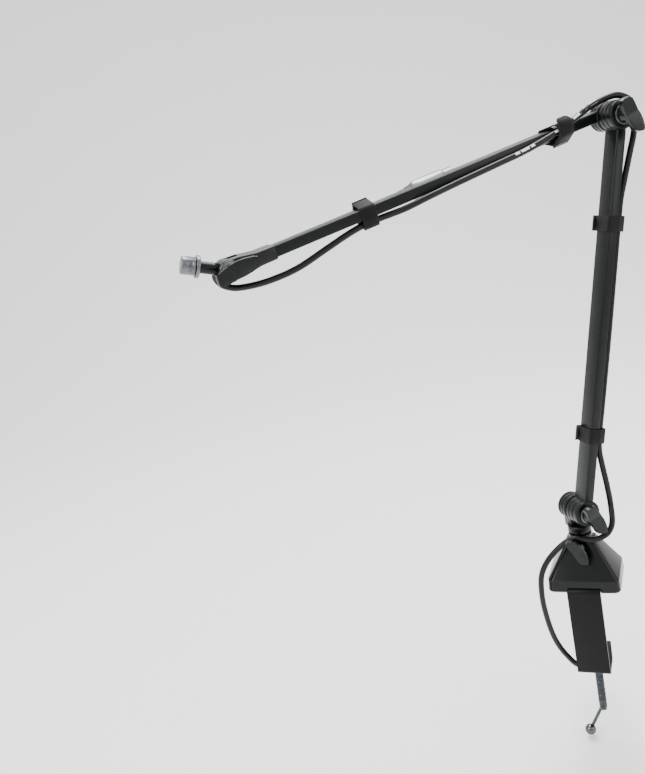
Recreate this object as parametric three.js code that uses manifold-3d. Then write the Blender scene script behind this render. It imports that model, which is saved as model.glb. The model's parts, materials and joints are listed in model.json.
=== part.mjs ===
// Desk-clamp boom stand for a microphone: clamp base, swivel post, two arms with side-by-side
// knuckles, paddle knobs at each pivot, tilting stud head, and a lead held on by loop straps.
// Units are millimetres, Z is up, the desk lies toward +Y and the clamp strap faces -Y.
import * as THREE from 'three';
import { mergeVertices } from 'three/addons/utils/BufferGeometryUtils.js';
import Module from 'manifold-3d';

const wasm = await Module();
wasm.setup();

// ---- driving dimensions -------------------------------------------------------------
const GAP = 0.3;              // running clearance between neighbouring pieces
const ARM_LEN = 395;          // lower arm, pivot to pivot
const BOOM_LEN = 398.5;       // boom, pivot to pivot
const TUBE_W = 20;            // tube size along the hinge axis
const TUBE_T = 10;            // tube size across the hinge axis
const TUBE_WALL = 1.3;
const BARREL_R = 14;          // knuckle barrel
const BARREL_W = TUBE_W - 0.4; // near knuckle half along the hinge axis
const FAR_W = BARREL_W - 5.6; // far knuckle half
const HALF_GAP = 0.8;         // mid plane to each knuckle half, leaves room for the washer
const BOLT_R = 3;             // M6 pivot bolts
const PIVOT_Z = 87;           // lower pivot above the desk
const YAW = 220.5;            // arm heading at rest, degrees about Z
const LEAN = 13.4;            // lower arm leans back from upright
const DROOP = 8.8;            // boom points below level
const RISE = 3.5;             // boom tube's centre line above the elbow bolt
const HEAD_UP = 20;           // stud points above level
const COVER_W = 74;           // base cover, across the desk edge
const COVER_D = 58;
const COVER_SHIFT = 2.2;      // cover rim's centre behind the post
const COVER_H = 53.5;
const RIM_H = 16;
const TOP_W = 27;
const TOP_D = 20;
const STRAP_W = 34;           // clamp frame width
const STRAP_T = 4;
const STRAP_Y = -30.5;        // front plane of the clamp frame
const LEG_Z = -97;            // underside of the lower leg
const LEG_BACK = 28;
const LEG_TAPER = 4.2;        // lower leg narrows by this much each side toward its tip
const PLATE_Z = 2.2;          // underside of the upper plate, above the rubber pad
const SCREW_R = 4;            // M8 clamp screw
const SCREW_TOP = -80.7;
const SCREW_END = -163;
const HANDLE_Z = -157;
const HANDLE_LEN = 39;
const HANDLE_TILT = 26;
const BALL_R = 6.2;
const LOCK_Z = COVER_H - 3;   // height of the swivel lock screw
const LEAD_R = 3;             // 6 mm lead
const STUD_R = 7.9;           // 5/8 inch stand thread
const PADDLE_LONG = 20;       // paddle's two wings, from the bolt
const PADDLE_SHORT = 16.5;
const PADDLE_W = 15;
const BAND_W = 15;            // hook-and-loop straps
const BAND_T = 1.6;

// ---- colours ------------------------------------------------------------------------
const BLACK = 0x2b2f31, COAT = 0x34393b, STEEL = 0xb9bdc2, RUBBER = 0x1b1c1d;
const CLOTH = 0x17181a, CORD = 0x121314, NYLON = 0xd8d6cc, BRASS = 0xb08d4a;

// ---- small geometry helpers -----------------------------------------------------------
const deg = (a) => (a * Math.PI) / 180;
const box = (x0, x1, y0, y1, z0, z1) => {
  const g = new THREE.BoxGeometry(x1 - x0, y1 - y0, z1 - z0);
  return g.translate((x0 + x1) / 2, (y0 + y1) / 2, (z0 + z1) / 2);
};
const cylZ = (r, z0, z1, x = 0, y = 0, n = 24) => {
  const g = new THREE.CylinderGeometry(r, r, z1 - z0, n).rotateX(Math.PI / 2);
  return g.translate(x, y, (z0 + z1) / 2);
};
const cylY = (r, y0, y1, x = 0, z = 0, n = 24) =>
  new THREE.CylinderGeometry(r, r, y1 - y0, n).translate(x, (y0 + y1) / 2, z);
const lathe = (pts, n = 24) =>
  new THREE.LatheGeometry(pts.map(([r, h]) => new THREE.Vector2(r, h)), n);
// profile [radius, height] turned about Z, or about Y starting at y = 0
const latheZ = (pts, n = 24) => lathe(pts, n).rotateX(Math.PI / 2);
const latheY = (pts, n = 24) => lathe(pts, n);
const shapeOf = (pts) => new THREE.Shape(pts.map(([a, b]) => new THREE.Vector2(a, b)));
const prism = (shape, h) => new THREE.ExtrudeGeometry(shape, { depth: h, bevelEnabled: false });
// frustum with four corners per level, levels given as [halfX, halfY, z]
function stack(levels) {
  const pos = [], idx = [];
  for (const [a, b, z] of levels) pos.push(-a, -b, z, a, -b, z, a, b, z, -a, b, z);
  for (let k = 0; k + 1 < levels.length; k++) {
    for (let i = 0; i < 4; i++) {
      const p = 4 * k + i, q = 4 * k + ((i + 1) % 4);
      idx.push(p, q, q + 4, p, q + 4, p + 4);
    }
  }
  const t = 4 * (levels.length - 1);
  idx.push(0, 2, 1, 0, 3, 2, t, t + 1, t + 2, t, t + 2, t + 3);
  const g = new THREE.BufferGeometry();
  g.setAttribute('position', new THREE.Float32BufferAttribute(pos, 3));
  g.setIndex(idx);
  return g;
}
// frustum with rounded vertical corners, levels given as [halfX, halfY, z, cornerRadius, shiftY]
function roundStack(levels, seg = 4) {
  const ring = (a, b, r) => {
    const out = [];
    for (const [sx, sy, a0] of [[1, -1, -90], [1, 1, 0], [-1, 1, 90], [-1, -1, 180]]) {
      for (let i = 0; i <= seg; i++) {
        const t = deg(a0 + (90 * i) / seg);
        out.push([sx * (a - r) + r * Math.cos(t), sy * (b - r) + r * Math.sin(t)]);
      }
    }
    return out;
  };
  const n = 4 * (seg + 1), pos = [], idx = [];
  for (const [a, b, z, r, dy = 0] of levels) {
    for (const [x, y] of ring(a, b, r)) pos.push(x, y + dy, z);
  }
  for (let k = 0; k + 1 < levels.length; k++) {
    for (let i = 0; i < n; i++) {
      const p = n * k + i, q = n * k + ((i + 1) % n);
      idx.push(p, q, q + n, p, q + n, p + n);
    }
  }
  const t = n * (levels.length - 1);
  for (let i = 1; i + 1 < n; i++) idx.push(0, i + 1, i, t, t + i, t + i + 1);
  const g = new THREE.BufferGeometry();
  g.setAttribute('position', new THREE.Float32BufferAttribute(pos, 3));
  g.setIndex(idx);
  return g;
}
function toSolid(geo) {
  if (!(geo instanceof THREE.BufferGeometry)) return geo;
  const g = geo.clone();
  for (const k of ['normal', 'uv']) g.deleteAttribute(k);
  const m = mergeVertices(g, 1e-4);
  return new wasm.Manifold(new wasm.Mesh({
    numProp: 3,
    vertProperties: new Float32Array(m.attributes.position.array),
    triVerts: new Uint32Array(m.index.array),
  }));
}
const join = (...gs) => wasm.Manifold.union(gs.map(toSolid));
const cut = (a, ...bs) => wasm.Manifold.difference([a, ...bs].map(toSolid));
const both = (a, b) => wasm.Manifold.intersection([toSolid(a), toSolid(b)]);
function toGeometry(solid) {
  if (solid instanceof THREE.BufferGeometry) return solid;
  const m = solid.getMesh();
  const g = new THREE.BufferGeometry();
  g.setAttribute('position', new THREE.Float32BufferAttribute(m.vertProperties, 3));
  g.setIndex(Array.from(m.triVerts));
  return g;
}

// ---- placing frames ---------------------------------------------------------------------
// arm frame: X forward along the arm, Y along the hinge axis toward the knobs, Z up
const M = () => new THREE.Matrix4();
const mv = (x, y, z) => M().makeTranslation(x, y, z);
const mul = (...ms) => ms.reduce((a, b) => a.multiply(b), M());
const ARM = M().makeRotationZ(deg(YAW));
const SIDE = HALF_GAP + BARREL_W / 2;                     // hinge-axis offset of each arm
const AT_LOWER = mul(ARM, mv(0, 0, PIVOT_Z), M().makeRotationY(deg(-LEAN)));
const elbow = [-ARM_LEN * Math.sin(deg(LEAN)), PIVOT_Z + ARM_LEN * Math.cos(deg(LEAN))];
const AT_ELBOW = mul(ARM, mv(elbow[0], 0, elbow[1]), M().makeRotationY(deg(DROOP)));
const AT_TUBE = mul(AT_ELBOW, mv(0, 0, RISE));
const AT_HEAD = mul(AT_TUBE, mv(BOOM_LEN, 0, 0), M().makeRotationY(deg(-DROOP - HEAD_UP)));
const WORLD = M();

const object = new THREE.Group();
object.name = 'boom_mic_stand';
function add(name, solid, colour, at = WORLD, look = {}) {
  const g = toGeometry(solid).clone();
  g.applyMatrix4(at);
  g.deleteAttribute('uv');
  g.computeVertexNormals();
  const mat = new THREE.MeshStandardMaterial({ color: colour, roughness: 0.55, ...look });
  mat.name = name + '_finish';
  const mesh = new THREE.Mesh(g, mat);
  mesh.name = name;
  object.add(mesh);
  return mesh;
}
const metal = { metalness: 0.9, roughness: 0.3 };

// ---- clamp base ---------------------------------------------------------------------------
function roundedProfile(pts) {
  // polygon given as [y, z, cornerRadius]
  const out = [];
  const n = pts.length;
  for (let i = 0; i < n; i++) {
    const [y, z, r] = pts[i];
    if (!r) { out.push([y, z]); continue; }
    const p = new THREE.Vector2(y, z);
    const a = new THREE.Vector2(...pts[(i + n - 1) % n].slice(0, 2)).sub(p).normalize();
    const b = new THREE.Vector2(...pts[(i + 1) % n].slice(0, 2)).sub(p).normalize();
    const c = p.clone().addScaledVector(a, r).addScaledVector(b, r);
    const s = p.clone().addScaledVector(a, r).sub(c), e = p.clone().addScaledVector(b, r).sub(c);
    for (let k = 0; k <= 5; k++) {
      const t = (k / 5) * Math.PI / 2;
      out.push([c.x + s.x * Math.cos(t) + e.x * Math.sin(t), c.y + s.y * Math.cos(t) + e.y * Math.sin(t)]);
    }
  }
  return out;
}
const plateTop = PLATE_Z + STRAP_T, inY = STRAP_Y + STRAP_T;
const strapProfile = roundedProfile([
  [STRAP_Y, LEG_Z, 5], [LEG_BACK, LEG_Z, 0], [LEG_BACK, LEG_Z + STRAP_T, 0],
  [inY, LEG_Z + STRAP_T, 1.5], [inY, PLATE_Z, 1.5], [22, PLATE_Z, 0], [22, plateTop, 0],
  [STRAP_Y, plateTop, 5],
]);
// shape lies in (y, z) and is pushed along x
const strapBody = prism(shapeOf(strapProfile), STRAP_W).applyMatrix4(
  new THREE.Matrix4().set(0, 0, 1, -STRAP_W / 2, 1, 0, 0, 0, 0, 1, 0, 0, 0, 0, 0, 1));
const hw = STRAP_W / 2;
const taper = (s) => prism(shapeOf([[s * (hw + 1), -9], [s * (hw + 1), LEG_BACK + 1],
  [s * (hw - LEG_TAPER), LEG_BACK + 1]]), STRAP_T + 4).translate(0, 0, LEG_Z - 2);
const screwSpots = [-hw + 6.5, hw - 6.5];
add('clamp_frame', cut(
  join(strapBody, cylZ(SCREW_R + 6.5, LEG_Z + 1, -86)),
  cylZ(SCREW_R + 3.3, LEG_Z - 1, -85), taper(-1), taper(1),
  ...screwSpots.map((x) => cylZ(2.3, 0, 8, x, 0, 16)),
  ...screwSpots.map((x) => latheZ([[0, 2], [4.1, 2], [4.1, 2.6], [2.2, 4.8], [0, 4.8]], 20)
    .translate(x, 0, 0)),
), BLACK, WORLD, { metalness: 0.5 });
add('thread_insert', cut(cylZ(SCREW_R + 3, LEG_Z + 0.2, -86.2), cylZ(SCREW_R + 0.35, -99, -85)),
  BRASS, WORLD, metal);
add('desk_pad', box(-hw + 0.5, hw - 0.5, -21, 21, 0, PLATE_Z - GAP), RUBBER);

const inset = 2.5;
const rim = (dx, dy, z, r) => [COVER_W / 2 - dx, COVER_D / 2 - dy, z, r, COVER_SHIFT];
const cover = roundStack([rim(1.6, 1.6, 0.5, 5), rim(0, 0, 2.4, 6), rim(0.8, 0.5, RIM_H - 1.6, 6),
  rim(2, 1.6, RIM_H, 5.5), [TOP_W / 2 + 0.8, TOP_D / 2 + 0.7, COVER_H - 0.8, 3],
  [TOP_W / 2 - 0.6, TOP_D / 2 - 0.6, COVER_H, 2.4]]);
const hollow = roundStack([rim(inset + 0.8, inset + 0.5, -1, 4), rim(inset + 0.8, inset + 0.5,
  RIM_H - 2, 4), [TOP_W / 2 - 2.4, TOP_D / 2 - 1.2, COVER_H - 3, 1]]);
add('base_cover', cut(cover, hollow,
  box(-hw - GAP, hw + GAP, -COVER_D, -10, -1, plateTop + GAP),
  cylZ(8.4, COVER_H - 14, COVER_H + 6), cylY(5.2, -30, -6, 0, LOCK_Z, 24)), BLACK);

const SEAT_Z = COVER_H + 6.5;  // top of the fixed column
add('swivel_socket', cut(
  latheZ([[0, 6.5], [15, 6.5], [15, 12], [8, 14], [8, COVER_H + 0.3], [11.2, COVER_H + 0.3],
    [12, COVER_H + 1.1], [12, SEAT_Z], [0, SEAT_Z]]),
  cylZ(6.8, 6, SEAT_Z + 1), cylY(3.3, -16, 0, 0, LOCK_Z, 20),
  ...screwSpots.map((x) => cylZ(2.2, 6, 11.5, x, 0, 16)),
), COAT, WORLD, { metalness: 0.4 });
add('swivel_bush', cut(
  latheZ([[5.3, 30], [6.5, 30], [6.5, SEAT_Z + 0.3], [10, SEAT_Z + 0.3], [10, SEAT_Z + 1.3],
    [5.3, SEAT_Z + 1.3], [5.3, 30]]),
  cylY(3.3, -16, 0, 0, LOCK_Z, 20)), NYLON);
screwSpots.forEach((x, i) => add(`socket_screw_${i + 1}`,
  latheZ([[0, 2.4], [3.7, 2.4], [3.7, 2.7], [1.9, 4.7], [1.9, 11.1], [0, 11.1]], 20)
    .translate(x, 0, 0), STEEL, WORLD, metal));

// ---- clamp pad, screw and folding handle ---------------------------------------------------
add('clamp_pad_plate', latheZ([[0, -80.2], [SCREW_R + 0.4, -80.2], [SCREW_R + 0.4, -84.2],
  [SCREW_R + 3, -84.2], [SCREW_R + 3, -79.2], [13, -79.2], [13, -76], [0, -76]]), STEEL, WORLD, metal);
add('clamp_pad_rubber', cylZ(12.5, -75.7, -73.7), RUBBER);
add('clamp_screw', cut(
  latheZ([[0, SCREW_END], [SCREW_R - 0.4, SCREW_END], [SCREW_R + 0.6, SCREW_END + 1],
    [SCREW_R + 0.6, -150], [SCREW_R, -149], [SCREW_R, -88], [SCREW_R - 0.6, -87],
    [SCREW_R - 0.6, -85.5], [SCREW_R, -84.6], [SCREW_R, SCREW_TOP], [0, SCREW_TOP]], 24),
  box(-SCREW_R - 2, SCREW_R + 2, -2.3, 2.3, SCREW_END - 1, -152), cylY(1.45, -6, 6, 0, HANDLE_Z, 16),
), STEEL, WORLD, metal);
add('handle_pin', cylY(1.2, -SCREW_R - 0.3, SCREW_R + 0.3, 0, HANDLE_Z, 16), STEEL, WORLD, metal);
const AT_HANDLE = mul(mv(0, 0, HANDLE_Z), M().makeRotationY(deg(HANDLE_TILT)));
add('handle_rod', cut(
  join(cylY(3.3, -2, 2, 0, 0, 24), cylZ(1.9, -HANDLE_LEN - 1, -1, 0, 0, 20)),
  cylY(1.5, -4, 4, 0, 0, 16)), STEEL, AT_HANDLE, metal);
add('handle_ball', cut(
  new THREE.SphereGeometry(BALL_R, 20, 12).translate(0, 0, -HANDLE_LEN - 1),
  cylZ(2.2, -HANDLE_LEN - 1.3, -HANDLE_LEN + 8, 0, 0, 20)), STEEL, AT_HANDLE, metal);

// ---- paddle knobs --------------------------------------------------------------------------
// outline of a paddle in its own plane, a long wing along +a and a short one along -a, with
// both ends cut on the skew
function paddleOutline(long, short, w) {
  return [[-1, -0.62], [-0.94, -1], [-0.6, -1.08], [-0.1, -0.95], [0.35, -0.9], [0.62, -0.85],
    [0.78, -0.72], [0.93, -0.2], [1, 0.3], [0.98, 0.52], [0.84, 0.74], [0.55, 0.92],
    [0.28, 0.98], [-0.2, 0.84], [-0.55, 0.7], [-0.8, 0.55], [-0.93, 0.2]]
    .map(([a, b]) => [a * (a > 0 ? long : short), (b * w) / 2]);
}
// knob on the Y axis starting at y = 0; the two wings are dished outward by dish degrees
function paddleKnob(long, short, w, hubR, hubH, t, angle, bore, boreDepth, dish = 10) {
  const plate = () => prism(shapeOf(paddleOutline(long, short, w)), t).translate(0, 0, -t / 2);
  const wing = (s) => {
    const keep = box(Math.min(0, s * long * 2), Math.max(0, s * long * 2), -w, w, -t * 2, t * 2);
    return both(plate(), keep).rotate([0, -s * dish, 0]);
  };
  // plate normal turned from Z to Y, long way pointing up
  const wings = join(wing(-1), wing(1)).rotate([-90, 0, 0]).rotate([0, angle, 0])
    .translate([0, hubH + t * 0.15, 0]);
  const hub = latheY([[0, 0], [hubR, 0], [hubR + 0.6, 1], [hubR, hubH], [hubR - 1.4, hubH + t * 0.7],
    [0, hubH + t * 0.7]], 28);
  return cut(join(wings, hub), bore(boreDepth));
}
const roundBore = (r) => (d) => cylY(r, -1, d, 0, 0, 20);
const nutBore = (d) => join(cylY(BOLT_R + 0.3, -1, d, 0, 0, 20),
  cylY(BOLT_R + 3.1, -1, 6.3, 0, 0, 6));

add('lock_screw', cylY(3, -27, -5.4, 0, LOCK_Z, 20), STEEL, WORLD, metal);
// the lock knob faces -Y, so it is built facing +Y and turned round
add('lock_knob', paddleKnob(16, 15, 12.5, 5.6, 6, 4, 115, roundBore(3.3), 6.6, 8).rotate([0, 0, 180])
  .translate([0, -20.6, LOCK_Z]), BLACK);

// ---- swivel post ---------------------------------------------------------------------------
// knuckle barrel with shallow turned grooves, from y0 to y0 + w
function barrel(y0, w = BARREL_W) {
  const p = [[0, 0], [BARREL_R - 1, 0], [BARREL_R, 1]];
  for (const g of [w * 0.26, w * 0.58]) p.push([BARREL_R, g], [BARREL_R - 0.7, g + 0.5],
    [BARREL_R - 0.7, g + 1.1], [BARREL_R, g + 1.6]);
  p.push([BARREL_R, w - 1], [BARREL_R - 1, w], [0, w]);
  return latheY(p, 28).translate(0, y0, 0);
}
const nearY = HALF_GAP, farY = -HALF_GAP - FAR_W;
const boltHole = cylY(BOLT_R + GAP, -40, 40, 0, 0, 16);
const AT_POST = mul(ARM, mv(0, 0, PIVOT_Z));
const up = (z) => SEAT_Z + z - PIVOT_Z;      // height above the column's seat, from the pivot
add('swivel_post', cut(
  join(barrel(farY, FAR_W),
    latheZ([[0, up(1.6)], [11.4, up(1.6)], [12, up(2.2)], [12, up(8.4)], [11.2, up(9.4)],
      [0, up(9.4)]], 28),
    box(-8.5, 8.5, farY + 2, -HALF_GAP, up(6), -8)),
  boltHole, cylZ(5.3, up(0), up(7.9), 0, 0, 24)), COAT, AT_POST, { metalness: 0.4 });
add('swivel_spindle', latheZ([[0, 18], [4.4, 18], [5, 18.6], [5, 26.6], [4.3, 26.6], [4.3, 28.9],
  [5, 28.9], [5, LOCK_Z - 3.4], [4.7, LOCK_Z - 3], [4.7, LOCK_Z + 3], [5, LOCK_Z + 3.4],
  [5, SEAT_Z + 7.6], [0, SEAT_Z + 7.6]], 24), STEEL, WORLD, metal);
add('spindle_ring', latheZ([[4.6, 27], [6.4, 27], [6.4, 28.5], [4.6, 28.5], [4.6, 27]], 24), STEEL,
  WORLD, metal);
const washer = (r, y0, y1) => cut(cylY(r, y0, y1, 0, 0, 24), cylY(BOLT_R + GAP, -40, 40, 0, 0, 16));
const boltLong = (y1) => join(
  latheY([[0, farY - 3.9], [4, farY - 3.7], [6, farY - 2.6], [6.6, farY - 1.3], [6.6, farY - GAP],
    [0, farY - GAP]], 24),
  cylY(BOLT_R, farY - 1, y1, 0, 0, 20));
const knobY = nearY + BARREL_W + GAP;                 // seat of the steel washer
const boltEnd = knobY + 1.5 + 11;
add('lower_bolt', boltLong(boltEnd), STEEL, AT_POST, metal);
add('lower_friction_washer', washer(12.5, -0.5, 0.5), NYLON, AT_POST);

// ---- tubes -----------------------------------------------------------------------------------
const PLUG_L = 30;
const tubeFrom = BARREL_R + 0.6;
const rect = (hx, hy, z0, z1) => box(-hx, hx, -hy, hy, z0, z1);
// hollow tube along Z with softened corners
function tubeSolid(z0, z1) {
  const outer = roundStack([[TUBE_T / 2, TUBE_W / 2, z0, 1.4], [TUBE_T / 2, TUBE_W / 2, z1, 1.4]], 3);
  const w = TUBE_WALL;
  return cut(outer, rect(TUBE_T / 2 - w, TUBE_W / 2 - w, z0 - 1, z1 + 1));
}
const plug = (s) => rect(TUBE_T / 2 - TUBE_WALL - GAP, TUBE_W / 2 - TUBE_WALL - GAP,
  s > 0 ? 10 : -tubeFrom - PLUG_L, s > 0 ? tubeFrom + PLUG_L : -10);
const neck = (s) => rect(TUBE_T / 2, BARREL_W / 2 - 1, s > 0 ? 8 : -tubeFrom + GAP,
  s > 0 ? tubeFrom - GAP : -8);
function knuckle(y0, s, w = BARREL_W, c = y0 + w / 2, x = 0) {
  // barrel on the hinge axis with the neck and tube plug leaving along +Z (s = 1) or -Z at y = c
  return cut(join(barrel(y0, w), neck(s).translate(x, c, 0), plug(s).translate(x, c, 0)), boltHole);
}

// ---- lower arm -------------------------------------------------------------------------------
const AT_TOP = mul(AT_LOWER, mv(0, 0, ARM_LEN));
add('lower_arm_foot', knuckle(nearY, 1), COAT, AT_LOWER, { metalness: 0.4 });
add('lower_arm_tube', tubeSolid(tubeFrom, ARM_LEN - tubeFrom), COAT, mul(AT_LOWER, mv(0, SIDE, 0)),
  { metalness: 0.5 });
add('lower_arm_top', knuckle(nearY, -1), COAT, AT_TOP, { metalness: 0.4 });

// ---- loop straps: band around the convex hull of a set of circles -------------------------------
function hull(points) {
  const p = [...points].sort((a, b) => a[0] - b[0] || a[1] - b[1]);
  const turn = (o, a, b) => (a[0] - o[0]) * (b[1] - o[1]) - (a[1] - o[1]) * (b[0] - o[0]);
  const half = (list) => {
    const h = [];
    for (const q of list) {
      while (h.length > 1 && turn(h[h.length - 2], h[h.length - 1], q) <= 1e-6) h.pop();
      h.push(q);
    }
    h.pop();
    return h;
  };
  return half(p).concat(half([...p].reverse()));
}
const circlePts = (cx, cy, r, n = 20) => Array.from({ length: n }, (_, i) => {
  const t = (i / n) * 2 * Math.PI;
  return [cx + r * Math.cos(t), cy + r * Math.sin(t)];
});
function bandShape(circles, grow) {
  return hull(circles.flatMap(([x, y, r]) => circlePts(x, y, r + grow)));
}
// ring of cloth in the XY plane pushed along Z, plus the free end lying on it
function band(circles, tab) {
  const ring = shapeOf(bandShape(circles, 0.35 + BAND_T));
  const loop = prism(ring, BAND_W);
  const inner = prism(shapeOf(bandShape(circles, 0.35)), BAND_W + 2).translate(0, 0, -1);
  const t = tab.clone ? tab : null;
  return cut(t ? join(loop, t) : loop, inner).translate([0, 0, -BAND_W / 2]);
}
const cornersOf = (a, b, c) => [[-a, c - b, 1], [a, c - b, 1], [a, c + b, 1], [-a, c + b, 1]];
const tubeCorners = (c) => cornersOf(TUBE_T / 2 - 1, TUBE_W / 2 - 1, c);
const backLead = [-TUBE_T / 2 - LEAD_R - 0.6, SIDE + 5];     // lead behind the lower arm
const upBand = () => band([...tubeCorners(SIDE), [...backLead, LEAD_R + 0.5]],
  box(5.8, 8.4, 9, 20, 1.5, BAND_W - 1.5));
add('lower_strap_low', upBand(), CLOTH, mul(AT_LOWER, mv(0, 0, 82)));
add('lower_strap_high', upBand(), CLOTH, mul(AT_LOWER, mv(0, 0, 294)));

// ---- knobs on the arm pivots --------------------------------------------------------------------
const wasY = knobY, hubY = knobY + 1.2 + GAP;
const nutRing = cut(cylY(BOLT_R + 2.7, 0.3, 5.9, 0, 0, 6), cylY(BOLT_R + GAP, -1, 9, 0, 0, 20));
function addKnob(prefix, at, angle, y0 = wasY, long = PADDLE_LONG) {
  add(`${prefix}_washer`, washer(9.5, y0, y0 + 1.2), STEEL, at, metal);
  add(`${prefix}_knob`, paddleKnob(long, PADDLE_SHORT, PADDLE_W, 8, 8, 5, angle, nutBore, 11.4)
    .translate([0, y0 + 1.2 + GAP, 0]), BLACK, at);
  add(`${prefix}_nut`, nutRing.translate([0, y0 + 1.2 + GAP, 0]), BRASS, at, metal);
}
const KNOB_TURN = 108;
addKnob('lower', AT_POST, KNOB_TURN);

// ---- boom ---------------------------------------------------------------------------------------
// boom pieces are built along Z like the arm and laid over so that Z becomes the boom direction
const LAY = M().makeRotationY(Math.PI / 2);
const AT_BOOM = mul(AT_TUBE, LAY);
add('boom_knuckle', knuckle(farY, 1, FAR_W, -SIDE, -RISE), COAT, mul(AT_ELBOW, LAY), { metalness: 0.4 });
add('boom_tube', tubeSolid(tubeFrom, BOOM_LEN - 22), COAT, mul(AT_BOOM, mv(0, -SIDE, 0)),
  { metalness: 0.5 });
add('elbow_bolt', boltLong(boltEnd), STEEL, AT_ELBOW, metal);
add('elbow_friction_washer', washer(12.5, -0.5, 0.5), NYLON, AT_ELBOW);
addKnob('elbow', AT_ELBOW, KNOB_TURN - 9);

// moulded fork: sleeve over the tube end, then two ears either side of the head tongue
const EAR_R = 10, FORK_HW = TUBE_W / 2 + 1.8, TONGUE_HW = 5.7;
const forkLen = 44, sleeveT = TUBE_T / 2 + 1.5;
const sleeve = roundStack([[sleeveT - 0.3, FORK_HW - 0.4, -forkLen, 2],
  [sleeveT, FORK_HW, -forkLen + 1.2, 2.5], [sleeveT + 0.2, FORK_HW, -28, 2.5],
  [EAR_R - 0.6, FORK_HW, -12, 2.5], [EAR_R, FORK_HW, 0, 2.5]], 3);
const forkCut = join(box(-20, 20, -TONGUE_HW - GAP, TONGUE_HW + GAP, -12.5, 20),
  cylY(12.2, -TONGUE_HW - GAP, TONGUE_HW + GAP, 0, 0, 32));
const boomHeadAt = mul(AT_BOOM, mv(0, -SIDE, BOOM_LEN));
add('boom_fork', cut(join(sleeve, cylY(EAR_R, -FORK_HW, FORK_HW, 0, 0, 32)), forkCut,
  roundStack([[TUBE_T / 2 + GAP, TUBE_W / 2 + GAP, -forkLen - 1, 1.2],
    [TUBE_T / 2 + GAP, TUBE_W / 2 + GAP, -22 + GAP, 1.2]], 3),
  cylY(BOLT_R + GAP, -20, 20, 0, 0, 20)), BLACK, boomHeadAt);
const headKnobY = -SIDE + FORK_HW + GAP;
const AT_PIVOT = mul(AT_TUBE, mv(BOOM_LEN, 0, 0));
const headBoltFar = -SIDE - FORK_HW;
add('head_bolt', join(
  latheY([[0, headBoltFar - 3.9], [4, headBoltFar - 3.7], [6, headBoltFar - 2.6],
    [6.6, headBoltFar - 1.3], [6.6, headBoltFar - GAP], [0, headBoltFar - GAP]], 24),
  cylY(BOLT_R, headBoltFar - 1, headKnobY + 1.2 + 10, 0, 0, 20)), STEEL, AT_PIVOT, metal);
addKnob('head', AT_PIVOT, 183, headKnobY, PADDLE_LONG + 5);

// boom straps: one holds the lead and its returning end, one holds the lead on the near face
const xOf = (n) => -n;                       // laid over, +X of the build frame points down
add('boom_strap_front', band([...tubeCorners(-SIDE), [xOf(-8.9), -6, LEAD_R + 0.6],
  [xOf(-2), -24.4, LEAD_R + 0.6], [xOf(7.5), -19, 1]], box(-9.6, -6, -14, -3, 1.5, BAND_W - 1.5)),
CLOTH, mul(AT_BOOM, mv(0, 0, 260)));
add('boom_strap_rear', band([...tubeCorners(-SIDE), [xOf(1.4), 3.7, LEAD_R + 0.6],
  [xOf(4.4), 3.7, LEAD_R + 0.6], [xOf(-7.2), -5, 1.2]],
box(-8.4, -5.8, -18, -7, 1.5, BAND_W - 1.5)), CLOTH, mul(AT_BOOM, mv(0, 0, 58)));

// ---- tilting head ---------------------------------------------------------------------------------
const AT_TONGUE = mul(AT_HEAD, LAY, mv(0, -SIDE, 0));
add('head_tongue', cut(
  join(cylY(EAR_R, -TONGUE_HW + 0.9, TONGUE_HW - 0.9, 0, 0, 32), cylZ(5.4, 9.6, 25),
    box(-5.4, 5.4, -TONGUE_HW + 0.9, TONGUE_HW - 0.9, 0, 12)),
  cylY(BOLT_R + GAP, -20, 20, 0, 0, 20), cylZ(3.3, 12, 26, 0, 0, 16)), COAT, AT_TONGUE,
{ metalness: 0.4 });
for (const [tag, s] of [['far', -1], ['near', 1]]) {
  const y = [s * (TONGUE_HW - 0.7), s * (TONGUE_HW - 0.1)].sort((a, b) => a - b);
  add(`head_washer_${tag}`, cut(cylY(9, y[0], y[1], 0, 0, 28), cylY(BOLT_R + GAP, -20, 20, 0, 0, 20)),
    NYLON, AT_TONGUE);
}
add('head_ring', cut(cylZ(10, 25.3, 28.5, 0, 0, 32), cylZ(3.3, 20, 30, 0, 0, 16)), STEEL, AT_TONGUE,
  metal);
add('head_stud', join(cylZ(3, 13, 30, 0, 0, 16), cylZ(STUD_R, 28.8, 41, 0, 0, 32)), STEEL, AT_TONGUE,
  metal);

// ---- lead -------------------------------------------------------------------------------------------
const lifted = (at) => ([x, y, z]) => new THREE.Vector3(x, y, z).applyMatrix4(at);
const onBoom = ([s, y, n]) => lifted(AT_TUBE)([s, y, n]);
const onArm = ([s, x, y]) => lifted(AT_LOWER)([x, y, s]);
const inBase = ([x, y, z]) => new THREE.Vector3(x, y, z);
const boomRun = [[226, -30.6, -2], [234, -30, -2], [244, -26.8, -2], [254, -24.4, -2],
  [268, -24.2, -2], [300, -24.4, -2], [340, -28, -2], [370, -38, -2], [388, -45, -1],
  [400, -43, -1], [407, -35, -4.5], [406, -26.5, -11.5], [398, -18.5, -17.5], [385, -13.5, -20.7],
  [367, -10, -22.6], [340, -8, -22], [308, -6, -15.6], [284, -6, -11], [270, -6, -9.3],
  [260, -6, -8.9], [248, -5.4, -9.2], [228, 0.2, -8.9], [206, 4, -6.9], [180, 3.8, -5.6],
  [127, 3.6, -3.6], [100, 3.6, -2.6], [72, 3.6, 0.6], [58, 3.6, 2.9], [42, 3.9, 7]];
const overElbow = [[28, 4.6, 11.2], [14, 6, 13.9]];
const downElbow = [[413, 1, 9], [409.5, -11.6, 11], [398, -18.8, 12], [380, -19, 12.8],
  [360, -15.6, 13.8], [335, -11.6, 14.6]];
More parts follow.
